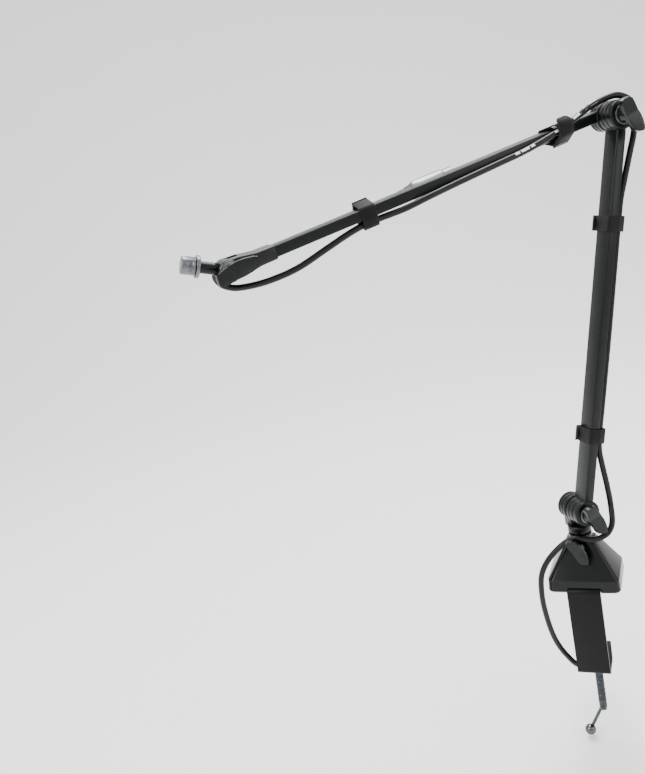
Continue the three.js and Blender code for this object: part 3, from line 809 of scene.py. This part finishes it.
def helix(
    radius_mm: float, pitch_mm: float, low_mm: float, high_mm: float, place: Matrix
) -> list[Vector]:
    """Return points of a right-handed thread's crest line.

    Args:
        radius_mm: Radius of the line.
        pitch_mm: Rise for each turn.
        low_mm: Height where it starts.
        high_mm: Height where it ends.
        place: Where local millimetres go in the row frame.

    Returns:
        Points in metres.
    """
    per_turn = 20
    turns = (high_mm - low_mm) / pitch_mm
    count = max(2, round(turns * per_turn))
    out = []
    for i in range(count + 1):
        angle = math.tau * turns * i / count
        height = low_mm + (high_mm - low_mm) * i / count
        out.append(
            place @ Vector((radius_mm * math.cos(angle), radius_mm * math.sin(angle), height))
        )
    return out


# ---- places taken from the frame ---------------------------------------------------------------


@dataclass(frozen=True)
class Run:
    """A straight arm's own axes: along it, toward the knobs, and across both."""

    origin: Vector
    along: Vector
    knobs: Vector

    @property
    def across(self) -> Vector:
        """Direction square to the arm and to its hinge."""
        return self.along.cross(self.knobs)

    def matrix(self, at_mm: float = 0.0, side_mm: float = 0.0) -> Matrix:
        """Place local millimetres (across, knobs, along) on the arm.

        Args:
            at_mm: Distance along the arm from its pivot.
            side_mm: Distance toward the knobs from the stand's middle plane.

        Returns:
            A matrix from local millimetres to the row frame in metres.
        """
        base = self.origin + self.along * at_mm * MM + self.knobs * side_mm * MM
        across = self.knobs.cross(self.along)
        turn = Matrix((across, self.knobs, self.along)).transposed().to_4x4()
        return Matrix.Translation(base) @ turn @ Matrix.Scale(MM, 4)


def joint(name: str) -> dict[str, Any]:
    """Return a joint of the frame by name."""
    return next(j for j in frame["joints"] if j["name"] == name)


def pivot(name: str) -> Vector:
    """Return a hinge's centre."""
    return Vector(joint(name)["pos_m"])


def middle(node: str) -> Vector:
    """Return the centre of a CAD node's box."""
    low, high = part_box(node)
    return (low + high) / 2


BOOM_RISE_MM = 3.5
LOWER_PIVOT, ELBOW, HEAD_PIVOT = pivot("lower_tilt"), pivot("elbow_bend"), pivot("head_tilt")
HINGE = Vector(joint("lower_tilt")["axis"]).normalized()
LOWER_RUN = Run(LOWER_PIVOT, (ELBOW - LOWER_PIVOT).normalized(), HINGE)


def boom_run() -> Run:
    """Return the boom's axes: its tube lies a little above the line between its pivots."""
    reach = HEAD_PIVOT - ELBOW
    turn = math.asin(BOOM_RISE_MM * MM / reach.length)
    along = (Quaternion(HINGE, turn) @ reach).normalized()
    return Run(ELBOW + along.cross(HINGE) * BOOM_RISE_MM * MM, along, HINGE)


BOOM_RUN = boom_run()
STUD_AXIS = Vector(
    next(m for m in frame["record"]["mounts"] if m["name"] == "stud_end")["axis"]
).normalized()
HEAD_RUN = Run(HEAD_PIVOT, STUD_AXIS, HINGE)


# ---- clamp base --------------------------------------------------------------------------------


@dataclass
class ClampBase:
    """The fixed clamp: C frame, pads, cover, swivel column and the lead's clip."""

    cover_edge_mm: float = 1.1
    frame_edge_mm: float = 0.7
    pieces: list[Piece] = field(default_factory=list)

    def build(self) -> list[Piece]:
        """Shape and dress every piece of the base and return them."""
        self.pieces += [
            softened("base_cover", "moulded_cover", Look.COVER, self.cover_edge_mm, 3),
            softened("clamp_frame", "bent_clamp_frame", Look.COATED_CLAMP, self.frame_edge_mm),
            softened("swivel_socket", "swivel_column", Look.COVER, 0.5),
            softened("desk_pad", "rubber_desk_pad", Look.RUBBER, 0.6),
            softened("lead_clip", "lead_p_clip", Look.ZINC, 0.25),
            softened("thread_insert", "clamp_thread_insert", Look.BRASS, 0.3),
            softened("swivel_bush", "flanged_swivel_bush", Look.DARK_STEEL, 0.2),
            softened("socket_screw_1", "column_screw_left", Look.ZINC, 0.15),
            softened("socket_screw_2", "column_screw_right", Look.ZINC, 0.15),
        ]
        return self.pieces


@dataclass
class ClampScrew:
    """The clamp's moving parts: pad, threaded screw and folding ball handle."""

    screw_radius_mm: float = 4.0
    pitch_mm: float = 1.25
    ridge_mm: float = 0.55
    thread_low_mm: float = -148.6
    thread_high_mm: float = -88.4

    def build(self) -> list[Piece]:
        """Shape and dress every moving piece of the clamp and return them."""
        return [
            softened("clamp_pad_plate", "pressed_pad_plate", Look.CLAMP_STEEL, 0.5),
            softened("clamp_pad_rubber", "rubber_clamp_pad", Look.RUBBER, 0.5),
            softened("clamp_screw", "clamp_screw_core", Look.CLAMP_STEEL, 0.25),
            self.thread(),
            softened("handle_pin", "handle_hinge_pin", Look.CLAMP_STEEL, 0.3),
            softened("handle_rod", "handle_bent_rod", Look.CLAMP_STEEL, 0.3),
            self.ball(),
        ]

    def thread(self) -> Piece:
        """Wind the M8 thread's ridge on the core."""
        # the ridge is sunk a little into the core, so that its crest stands 0.4 mm proud
        line = helix(
            self.screw_radius_mm - 0.12,
            self.pitch_mm,
            self.thread_low_mm,
            self.thread_high_mm,
            Matrix.Scale(MM, 4),
        )
        route = curve_through("clamp_screw_thread", line)
        piece = THREAD_TREE.apply(route, Look.CLAMP_STEEL, {"Ridge": self.ridge_mm * MM})
        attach(piece, "clamp_screw")
        return piece

    def ball(self) -> Piece:
        """Turn the chromed ball with its small flat round the rod."""
        low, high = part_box("handle_ball")
        centre = (low + high) / 2
        radius = (high.y - low.y) / 2 / MM
        axis = (pivot("handle_fold") - centre).normalized()
        place = (
            Matrix.Translation(centre)
            @ axis.to_track_quat("Z", "Y").to_matrix().to_4x4()
            @ Matrix.Scale(MM, 4)
        )
        neck = 2.25
        top = math.sqrt(radius**2 - neck**2)
        profile = [(0.0, -radius)]
        span = math.pi - math.asin(neck / radius)
        count = 26
        for i in range(1, count + 1):
            angle = span * i / count
            profile.append((radius * math.sin(angle), -radius * math.cos(angle)))
        profile += [(neck, top - 0.8), (0.0, top - 0.8)]
        piece = turned("chromed_handle_ball", profile, Look.CHROME, place, 56)
        return stands_for(piece, "handle_ball")


# ---- swivel post and knuckles --------------------------------------------------------------------


@dataclass
class SwivelPost:
    """The turning post with its half of the lower knuckle and its bolt."""

    def build(self) -> list[Piece]:
        """Shape and dress the post's pieces and return them."""
        return [
            softened("swivel_post", "swivel_post_knuckle", Look.KNUCKLE, 0.35),
            softened("swivel_spindle", "turned_spindle", Look.ZINC, 0.2),
            softened("spindle_ring", "spindle_spring_ring", Look.DARK_STEEL, 0.15),
            softened("lower_bolt", "lower_pivot_bolt", Look.DARK_STEEL, 0.3),
            softened("lower_friction_washer", "lower_friction_disc", Look.DARK_STEEL, 0.2),
            softened("lock_screw", "swivel_lock_screw", Look.DARK_STEEL, 0.3),
            softened("lock_knob", "swivel_lock_paddle", Look.KNOB, 0.9, 3),
        ]


@dataclass
class Arms:
    """Both coated tubes and their moulded knuckles, with the fork at the boom's end."""

    def build(self) -> list[Piece]:
        """Shape and dress the arm pieces and return them."""
        return [
            softened("lower_arm_foot", "lower_arm_foot_knuckle", Look.KNUCKLE, 0.35),
            softened("lower_arm_tube", "lower_arm_coated_tube", Look.COATED_TUBE, 0.4),
            softened("lower_arm_top", "lower_arm_top_knuckle", Look.KNUCKLE, 0.35),
            softened("boom_knuckle", "boom_moulded_knuckle", Look.KNUCKLE, 0.35),
            softened("boom_tube", "boom_coated_tube", Look.COATED_TUBE, 0.4),
            softened("boom_fork", "boom_moulded_fork", Look.FORK, 0.9, 3),
            softened("elbow_bolt", "elbow_pivot_bolt", Look.DARK_STEEL, 0.3),
            softened("elbow_friction_washer", "elbow_friction_disc", Look.DARK_STEEL, 0.2),
            softened("head_bolt", "head_pivot_bolt", Look.DARK_STEEL, 0.3),
        ]


@dataclass
class PivotKnob:
    """A paddle knob with its steel washer and brass nut."""

    prefix: str
    edge_mm: float = 1.2

    def build(self) -> list[Piece]:
        """Shape and dress the knob's pieces and return them."""
        return [
            softened(f"{self.prefix}_washer", f"{self.prefix}_steel_washer", Look.ZINC, 0.3),
            softened(
                f"{self.prefix}_knob", f"{self.prefix}_paddle_knob", Look.KNOB, self.edge_mm, 3
            ),
            softened(f"{self.prefix}_nut", f"{self.prefix}_brass_nut", Look.BRASS, 0.2),
        ]


@dataclass
class MicHead:
    """The tilting head: tongue, nylon washers, ring and threaded stud."""

    pitch_mm: float = 25.4 / 27
    ridge_mm: float = 0.42
    stud_from_mm: float = 29.3
    stud_to_mm: float = 40.4

    def build(self) -> list[Piece]:
        """Shape and dress the head's pieces and return them."""
        return [
            softened("head_tongue", "head_moulded_tongue", Look.KNUCKLE, 0.5),
            softened("head_washer_far", "head_nylon_washer_far", Look.NYLON, 0.12),
            softened("head_washer_near", "head_nylon_washer_near", Look.NYLON, 0.12),
            softened("head_ring", "head_steel_ring", Look.ZINC, 0.5),
            softened("head_stud", "head_stud_core", Look.ZINC, 0.4),
            self.thread(),
        ]

    def thread(self) -> Piece:
        """Wind the stand thread's ridge on the stud."""
        side = (middle("head_ring") - HEAD_PIVOT).dot(HINGE) / MM
        place = HEAD_RUN.matrix(0.0, side)
        line = helix(7.78, self.pitch_mm, self.stud_from_mm, self.stud_to_mm, place)
        route = curve_through("head_stud_thread", line)
        piece = THREAD_TREE.apply(route, Look.ZINC, {"Ridge": self.ridge_mm * MM})
        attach(piece, "mic_head")
        return piece


# ---- hook-and-loop straps ------------------------------------------------------------------------


def hull(points: Sequence[tuple[float, float]]) -> list[tuple[float, float]]:
    """Return the convex outline of points, counter-clockwise."""
    ordered = sorted(set(points))

    def half(run: Sequence[tuple[float, float]]) -> list[tuple[float, float]]:
        out: list[tuple[float, float]] = []
        for p in run:
            while len(out) > 1:
                (ax, ay), (bx, by) = out[-2], out[-1]
                if (bx - ax) * (p[1] - ay) - (by - ay) * (p[0] - ax) > 1e-9:
                    break
                out.pop()
            out.append(p)
        return out[:-1]

    return half(ordered) + half(ordered[::-1])


def even_loop(outline: Sequence[tuple[float, float]], count: int) -> list[Vector]:
    """Return count points at even steps round a closed outline."""
    corners = [Vector(p) for p in outline]
    lengths = [(b - a).length for a, b in zip(corners, corners[1:] + corners[:1])]
    total = sum(lengths)
    out, k, walked = [], 0, 0.0
    for i in range(count):
        target = total * i / count
        while walked + lengths[k] < target:
            walked += lengths[k]
            k += 1
        a, b = corners[k], corners[(k + 1) % len(corners)]
        out.append(a.lerp(b, (target - walked) / lengths[k]))
    return out


@dataclass
class LoopStrap:
    """A band of hook-and-loop tape round an arm and the lead, with a free tail.

    The circles are local (across, knobs, radius) in millimetres, seen along the arm.
    """

    name: str
    node: str
    run: Run
    at_mm: float
    circles: tuple[Point, ...]
    tail_from: float
    tail_length: float
    tail_lift_mm: float
    width_mm: float = 15.0
    thickness_mm: float = 1.5
    slack_mm: float = 0.35
    skew: float = 0.0

    def outline(self, grow: float, count: int = 72) -> list[Vector]:
        """Return the loop's even outline grown outward by a distance."""
        points = []
        for x, y, r in self.circles:
            for i in range(24):
                turn = math.tau * i / 24
                points.append((x + (r + grow) * math.cos(turn), y + (r + grow) * math.sin(turn)))
        return even_loop(hull(points), count)

    def build(self) -> list[Piece]:
        """Build the loop with its tail, and the pale rows across its slot: edging and painted
        highlight.
        """
        ring = self.outline(self.slack_mm + self.thickness_mm / 2)
        loop = self.band(f"{self.name}_loop", ring, True)
        stands_for(loop, self.node)
        tail_ring = self.outline(self.slack_mm + self.thickness_mm * 1.62, 96)
        first = round(self.tail_from * 96)
        count = round(self.tail_length * 96)
        tail = []
        for i in range(count + 1):
            here = tail_ring[(first + i) % 96]
            ahead = tail_ring[(first + i + 1) % 96] - tail_ring[(first + i - 1) % 96]
            out = Vector((ahead.y, -ahead.x)).normalized()
            lift = self.tail_lift_mm * max(0.0, (i / count - 0.55) / 0.45) ** 2
            tail.append(here + out * lift)
        free = self.band(f"{self.name}_tail", tail, False)
        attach(free, body_of_node(self.node))
        return [loop, free, self.edge_stitches_and_highlight(tail)]

    def band(self, name: str, route: Sequence[Vector], closed: bool) -> Piece:
        """Sweep the tape's rounded section along a route square to the arm.

        Args:
            name: The piece's name.
            route: Centre of the tape's thickness, in local millimetres.
            closed: Whether the route joins up.

        Returns:
            The tape as a closed mesh with its weave attribute.
        """
        half_w, half_t = self.width_mm / 2, self.thickness_mm / 2
        cut = 0.28
        section = [
            (-half_w + cut, -half_t),
            (half_w - cut, -half_t),
            (half_w, -half_t + cut),
            (half_w, half_t - cut),
            (half_w - cut, half_t),
            (-half_w + cut, half_t),
            (-half_w, half_t - cut),
            (-half_w, -half_t + cut),
        ]
        place = self.run.matrix(self.at_mm, 0.0)
        count = len(route)
        points, weave, rings = [], [], []
        walked = 0.0
        for i, here in enumerate(route):
            before = route[i - 1] if closed or i else here
            after = route[(i + 1) % count] if closed or i + 1 < count else here
            ahead = (after - before).normalized()
            out = Vector((ahead.y, -ahead.x))
            walked += (here - route[i - 1]).length if i else 0.0
            narrow = 1.0
            if not closed:
                left = 1 - i / (count - 1)
                narrow = 0.55 + 0.45 * min(1.0, left / 0.12) ** 0.5
            ring = []
            for along, thick in section:
                spot = here + out * thick
                shift = self.skew * (spot.y - self.circles[0][1])
                ring.append(len(points))
                points.append(place @ Vector((spot.x, spot.y, along * narrow + shift)))
                weave.append((walked * MM, along * MM, 0.0))
            rings.append(ring)
        faces = []
        size = len(section)
        pairs = list(zip(rings, rings[1:])) + ([(rings[-1], rings[0])] if closed else [])
        for low, high in pairs:
            for k in range(size):
                m = (k + 1) % size
                faces.append([low[k], low[m], high[m], high[k]])
        if not closed:
            faces += [rings[0][::-1], rings[-1]]
        mesh = bpy.data.meshes.new(name)
        mesh.from_pydata([tuple(p) for p in points], [], faces)
        store = mesh.attributes.new("weave", "FLOAT_VECTOR", "POINT")
        store.data.foreach_set("vector", [v for w in weave for v in w])
        work = bmesh.new()
        work.from_mesh(mesh)
        bmesh.ops.recalc_face_normals(work, faces=work.faces)
        shade(work, 55.0)
        work.to_mesh(mesh)
        work.free()
        mesh.materials.append(Look.STRAP.material())
        piece = linked(name, mesh)
        return piece

    def edge_stitches_and_highlight(self, tail: Sequence[Vector]) -> Piece:
        """Sew two pale rows across the tape where its tail passes the slot: edging and painted
        highlight.
        """
        place = self.run.matrix(self.at_mm, 0.0)
        rows = []
        for step in (2, 5):
            here, ahead = tail[step], tail[step + 1] - tail[step - 1]
            out = Vector((ahead.y, -ahead.x)).normalized()
            spot = here + out * (self.thickness_mm / 2 + 0.05)
            rows.append(
                [place @ Vector((spot.x, spot.y, s * (self.width_mm / 2 - 2.2))) for s in (-1, 1)]
            )
        small = self.stitch_shape()
        made = []
        for i, row in enumerate(rows):
            route = curve_through(f"{self.name}_stitch_row_{i + 1}", row)
            # the rows' pale colour is partly a painted highlight of the slot's edges
            made.append(ROW_TREE.apply(route, Look.THREAD, {"Pitch": 1.9 * MM, "Piece": small}))
        bpy.data.objects.remove(small)
        with bpy.context.temp_override(
            active_object=made[0], selected_editable_objects=made, object=made[0]
        ):
            bpy.ops.object.join()
        piece = made[0]
        piece.name = f"{self.name}_stitches"
        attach(piece, body_of_node(self.node))
        return piece

    @staticmethod
    def stitch_shape() -> Piece:
        """Make one stitch: a short rounded thread lying along X."""
        work = bmesh.new()
        bmesh.ops.create_uvsphere(work, u_segments=8, v_segments=6, radius=0.5 * MM)
        bmesh.ops.scale(work, vec=(1.5, 0.8, 0.5), verts=work.verts)
        mesh = bpy.data.meshes.new("stitch")
        work.to_mesh(mesh)
        work.free()
        piece = linked("stitch", mesh)
        return piece


# ---- lead ----------------------------------------------------------------------------------------


def smooth_route(points: Sequence[Vector], per_span: int = 10) -> tuple[list[Vector], list[int]]:
    """Return one smooth line through all points.

    Args:
        points: The chosen points in metres.
        per_span: Samples between one point and the next.

    Returns:
        The dense line, and where each chosen point falls in it.
    """
    ends = [points[0] * 2 - points[1], *points, points[-1] * 2 - points[-2]]
    out: list[Vector] = []
    marks: list[int] = []
    for i in range(len(points) - 1):
        p0, p1, p2, p3 = ends[i : i + 4]
        d0, d1, d2 = ((b - a).length ** 0.5 for a, b in ((p0, p1), (p1, p2), (p2, p3)))
        m1 = ((p1 - p0) / d0 - (p2 - p0) / (d0 + d1) + (p2 - p1) / d1) * d1
        m2 = ((p2 - p1) / d1 - (p3 - p1) / (d1 + d2) + (p3 - p2) / d2) * d1
        marks.append(len(out))
        for k in range(per_span):
            t = k / per_span
            out.append(
                p1 * (2 * t**3 - 3 * t**2 + 1)
                + m1 * (t**3 - 2 * t**2 + t)
                + p2 * (-2 * t**3 + 3 * t**2)
                + m2 * (t**3 - t**2)
            )
    marks.append(len(out))
    out.append(points[-1].copy())
    return out, marks


@dataclass
class Lead:
    """The 6 mm lead: one run cut where it passes from one moving piece to the next.

    Boom points are (along, knobs, up) from the elbow, arm points (along, forward, knobs)
    from the lower pivot, and base points the row frame's own, all in millimetres.
    """

    diameter_mm: float = 6.0
    boom_points: tuple[Point, ...] = (
        (226, -30.6, -2), (234, -30, -2), (244, -26.8, -2), (254, -24.4, -2),
        (268, -24.2, -2), (300, -24.4, -2), (340, -28, -2), (370, -38, -2),
        (388, -45, -1), (400, -43, -1), (407, -35, -4.5), (406, -26.5, -11.5),
        (398, -18.5, -17.5), (385, -13.5, -20.7), (367, -10, -22.6), (340, -8, -22),
        (308, -6, -15.6), (284, -6, -11), (270, -6, -9.3), (260, -6, -8.9),
        (248, -5.4, -9.2), (228, 0.2, -8.9), (206, 4, -6.9), (180, 3.8, -5.6),
        (127, 3.6, -3.6), (100, 3.6, -2.6), (72, 3.6, 0.6), (58, 3.6, 2.9),
        (42, 3.9, 7),
    )
    over_elbow: tuple[Point, ...] = ((28, 4.6, 11.2), (14, 6, 13.9))
    down_elbow: tuple[Point, ...] = (
        (413, 1, 9), (409.5, -11.6, 11), (398, -18.8, 12), (380, -19, 12.8),
        (360, -15.6, 13.8), (335, -11.6, 14.6),
    )
    arm_points: tuple[Point, ...] = (
        (318, -9, 15.2), (294, -8.6, 15.2), (240, -8.8, 15.2), (180, -9, 15.2),
        (120, -8.8, 15.2), (82, -8.6, 15.2), (66, -10, 15.4),
    )
    arm_to_post: tuple[Point, ...] = ((50, -14.5, 16.5), (29, -20.8, 18.5), (7.5, -26.5, 20))
    post_points: tuple[Point, ...] = (
        (34.2, -9.2, 72), (29, -15.5, 64.5), (18, -19.2, 60.4), (8, -20.2, 60.6),
    )
    base_points: tuple[Point, ...] = (
        (-3, -20.4, 62), (-12, -22, 58.6), (-21.5, -25, 51.6), (-33, -28.6, 39),
        (-40.4, -30, 24), (-43, -30, 6), (-43, -28, -20), (-38, -21.5, -60),
        (-29, -14, -86), (-19.5, -8, -101), (-12.6, 0.5, -102.6), (-12, 7, -102.4),
        (-12, 14, -102.4), (-13.5, 30, -104.5),
    )

    def on_boom(self, p: Sequence[float]) -> Vector:
        """Place a boom point in the row frame."""
        run = BOOM_RUN
        return run.origin + (run.along * p[0] + run.knobs * p[1] + run.across * p[2]) * MM

    def on_arm(self, p: Sequence[float]) -> Vector:
        """Place a lower-arm point in the row frame."""
        run = LOWER_RUN
        forward = run.knobs.cross(run.along)
        return run.origin + (run.along * p[0] + forward * p[1] + run.knobs * p[2]) * MM

    def sections(self) -> list[tuple[str, list[Vector]]]:
        """Return each section's name and points, from the plug end at the boom."""
        base = [Vector(p) * MM for p in self.base_points]
        return [
            ("lead_boom", [self.on_boom(p) for p in self.boom_points]),
            (
                "lead_elbow",
                [self.on_boom(p) for p in self.over_elbow]
                + [self.on_arm(p) for p in self.down_elbow],
            ),
            ("lead_arm", [self.on_arm(p) for p in self.arm_points]),
            (
                "lead_swivel",
                [self.on_arm(p) for p in self.arm_to_post]
                + [Vector(p) * MM for p in self.post_points],
            ),
            ("lead_base", base),
        ]

    def build(self) -> list[Piece]:
        sections = self.sections()
        line, marks = smooth_route([p for _, points in sections for p in points])
        bodies = {
            "lead_boom": ("boom",),
            "lead_elbow": ("boom", "lower_arm"),
            "lead_arm": ("lower_arm",),
            "lead_swivel": ("lower_arm", "swivel_post"),
            "lead_base": ("swivel_post", "base"),
        }
        ends = {
            "lead_boom": Connector("female", line[0], line[0] - line[1]),
            "lead_base": Connector("male", line[-1], line[-1] - line[-2]),
        }
        made: list[Piece] = []
        first, run_start = 0, 0.0
        for index, (name, points) in enumerate(sections):
            last = first + len(points) - 1
            low = 0 if index == 0 else (marks[first - 1] + marks[first]) // 2
            high = (
                len(line) - 1
                if index == len(sections) - 1
                else (marks[last] + marks[last + 1]) // 2
            )
            part = line[low : high + 1]
            length = sum((b - a).length for a, b in zip(part, part[1:]))
            route = curve_through(f"{name}_sheath", part)
            piece = SHEATH_TREE.apply(
                route,
                Look.SHEATH,
                {"Radius": self.diameter_mm / 2 * MM, "Run Start": run_start},
            )
            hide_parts(name)
            on = bodies[name]
            if len(on) == 1:
                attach(piece, on[0])
            else:
                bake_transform(piece)
            fitted = ends[name].build() if name in ends else []
            made += [piece, *fitted]
            run_start += length
            first = last + 1
        log.info("lead length %.0f mm", run_start / MM)
        return made


@dataclass
class Connector:
    """A three-pole audio connector: ribbed boot and turned shell."""

    kind: str
    end: Vector
    away: Vector
    barrel_mm: float = 9.5

    def place(self) -> Matrix:
        """Return local millimetres with Z away from the lead."""
        turn = self.away.normalized().to_track_quat("Z", "Y").to_matrix().to_4x4()
        return Matrix.Translation(self.end) @ turn @ Matrix.Scale(MM, 4)

    def build(self) -> list[Piece]:
        """Turn the boot and dress the shell."""
        boot = turned(f"{self.kind}_ribbed_boot", self.boot_profile(), Look.BOOT, self.place())
        stands_for(boot, f"{self.kind}_boot")
        shell = softened(f"{self.kind}_shell", f"{self.kind}_connector_shell", Look.NICKEL, 0.35)
        return [boot, shell]

    def boot_profile(self) -> list[tuple[float, float]]:
        """Return the boot's tapered outline with its flex ribs."""
        out: list[tuple[float, float]] = [(0.0, 1.0), (3.1, 1.0), (3.1, -2.0), (4.2, -2.0)]
        ribs = 5
        for i in range(ribs):
            low = -1.4 + i * 3.2
            radius = 4.4 + 1.9 * (low + 2) / 18
            out += [(radius, low), (radius + 0.1, low + 1.9), (radius - 0.6, low + 2.2)]
            out += [(radius - 0.55, low + 2.9)]
        out += [(6.3, 16.0), (7.3, 21.4), (6.9, 22.0), (0.0, 22.0)]
        return out


# ---- studio --------------------------------------------------------------------------------------


@dataclass
class Studio:
    """Pale floor, soft lights and the camera."""

    eye: tuple[float, float, float] = (0.13945, -0.84279, 0.50103)
    turn_degrees: float = 25.375
    tilt_degrees: float = 15.481
    roll_degrees: float = -12.0
    lens_mm: float = 39.91

    def build(self) -> None:
        """Set the camera, the floor, the sky and the lights."""
        self.camera()
        self.floor()
        self.sky()
        self.lights()

    def camera(self) -> None:
        """Aim the camera."""
        data = bpy.data.cameras.new("studio_camera")
        data.lens = self.lens_mm
        data.sensor_width = 36.0
        data.clip_start, data.clip_end = 0.01, 100.0
        camera = bpy.data.objects.new("studio_camera", data)
        a, e = math.radians(self.turn_degrees), math.radians(self.tilt_degrees)
        back = Vector((math.sin(a) * math.cos(e), -math.cos(a) * math.cos(e), math.sin(e)))
        aim = (-back).to_track_quat("-Z", "Y")
        camera.rotation_mode = "QUATERNION"
        camera.rotation_quaternion = aim @ Quaternion((0, 0, 1), math.radians(self.roll_degrees))
        camera.location = self.eye
        bpy.context.scene.collection.objects.link(camera)
        bpy.context.scene.camera = camera

    def floor(self) -> None:
        """Lay a wide pale floor that curves up into a backdrop."""
        low = CAD_BOX[0].z - 0.004
        half, back, high, bend = 7.0, 3.2, 7.0, 1.6
        profile = [(-6.0, low), (back - bend, low)]
        steps = 16
        for i in range(1, steps + 1):
            t = math.pi / 2 * i / steps
            profile.append((back - bend + bend * math.sin(t), low + bend * (1 - math.cos(t))))
        profile.append((back, high))
        # the sweep faces the camera's own heading
        heading = Matrix.Rotation(math.radians(self.turn_degrees), 3, "Z")
        points = [heading @ Vector((x, y, z)) for x in (-half, half) for y, z in profile]
        n = len(profile)
        faces = [[i, i + 1, n + i + 1, n + i] for i in range(n - 1)]
        piece = mesh_piece("studio_floor", points, faces, Look.FLOOR, 60.0)

    def sky(self) -> None:
        """Fill the surroundings with even white light."""
        world = bpy.data.worlds.new("studio_sky")
        world.use_nodes = True
        tree = world.node_tree
        tree.nodes.clear()
        glow = add_node(
            tree, "ShaderNodeBackground", {"Color": linear("FFFFFF"), "Strength": 1.3}
        )
        out = add_node(tree, "ShaderNodeOutputWorld")
        tree.links.new(glow.outputs[0], out.inputs["Surface"])
        bpy.context.scene.world = world

    def lights(self) -> None:
        """Hang the soft boxes."""
        aim = Vector((-0.05, 0.0, 0.25))
        for name, spot, size, power in (
            ("key_soft_box", (-1.3, -1.5, 1.7), 1.1, 34.0),
            ("top_soft_box", (-0.2, 0.6, 2.1), 1.4, 80.0),
            ("side_soft_box", (1.9, -0.4, 0.9), 0.9, 7.0),
        ):
            data = bpy.data.lights.new(name, "AREA")
            data.shape = "SQUARE"
            data.size = size
            data.energy = power
            lamp = bpy.data.objects.new(name, data)
            lamp.location = spot
            lamp.rotation_mode = "QUATERNION"
            lamp.rotation_quaternion = (aim - Vector(spot)).to_track_quat("-Z", "Y")
            bpy.context.scene.collection.objects.link(lamp)


# ---- whole stand ---------------------------------------------------------------------------------


def straps() -> list[LoopStrap]:
    """Return the four straps with the circles that each goes round."""
    tube_low = ((-4, 1.6, 1), (4, 1.6, 1), (4, 19.6, 1), (-4, 19.6, 1))
    tube_boom = ((-4, -19.6, 1), (4, -19.6, 1), (4, -1.6, 1), (-4, -1.6, 1))
    behind = (-8.6, 15.6, 3.5)
    return [
        LoopStrap("front_boom_strap", "boom_strap_front", BOOM_RUN, 260,
                  (*tube_boom, (8.9, -6, 3.6), (2, -24.4, 3.6), (-7.5, -19, 1)), 0.02, 0.34, 3.0,
                  skew=0.12),
        LoopStrap("rear_boom_strap", "boom_strap_rear", BOOM_RUN, 58,
                  (*tube_boom, (-1.4, 3.7, 3.6), (-4.4, 3.7, 3.6), (7.2, -5, 1.2)),
                  0.62, 0.36, 3.0, skew=-0.1),
        LoopStrap("high_arm_strap", "lower_strap_high", LOWER_RUN, 294,
                  (*tube_low, behind), 0.1, 0.34, 2.0),
        LoopStrap("low_arm_strap", "lower_strap_low", LOWER_RUN, 82,
                  (*tube_low, behind), 0.12, 0.34, 2.0),
    ]


def main() -> None:
    """Build the studio, the lead and every sub-assembly, and report each piece."""
    Studio().build()
    makers: list[Any] = [
        Lead(),
        ClampBase(),
        ClampScrew(),
        SwivelPost(),
        Arms(),
        PivotKnob("lower"),
        PivotKnob("elbow"),
        PivotKnob("head"),
        MicHead(),
        *straps(),
    ]
    for maker in makers:
        for piece in maker.build():
            log.info("%s: %s, %d faces", type(maker).__name__, piece.name, len(piece.data.polygons))


if __name__ == "__main__":
    main()
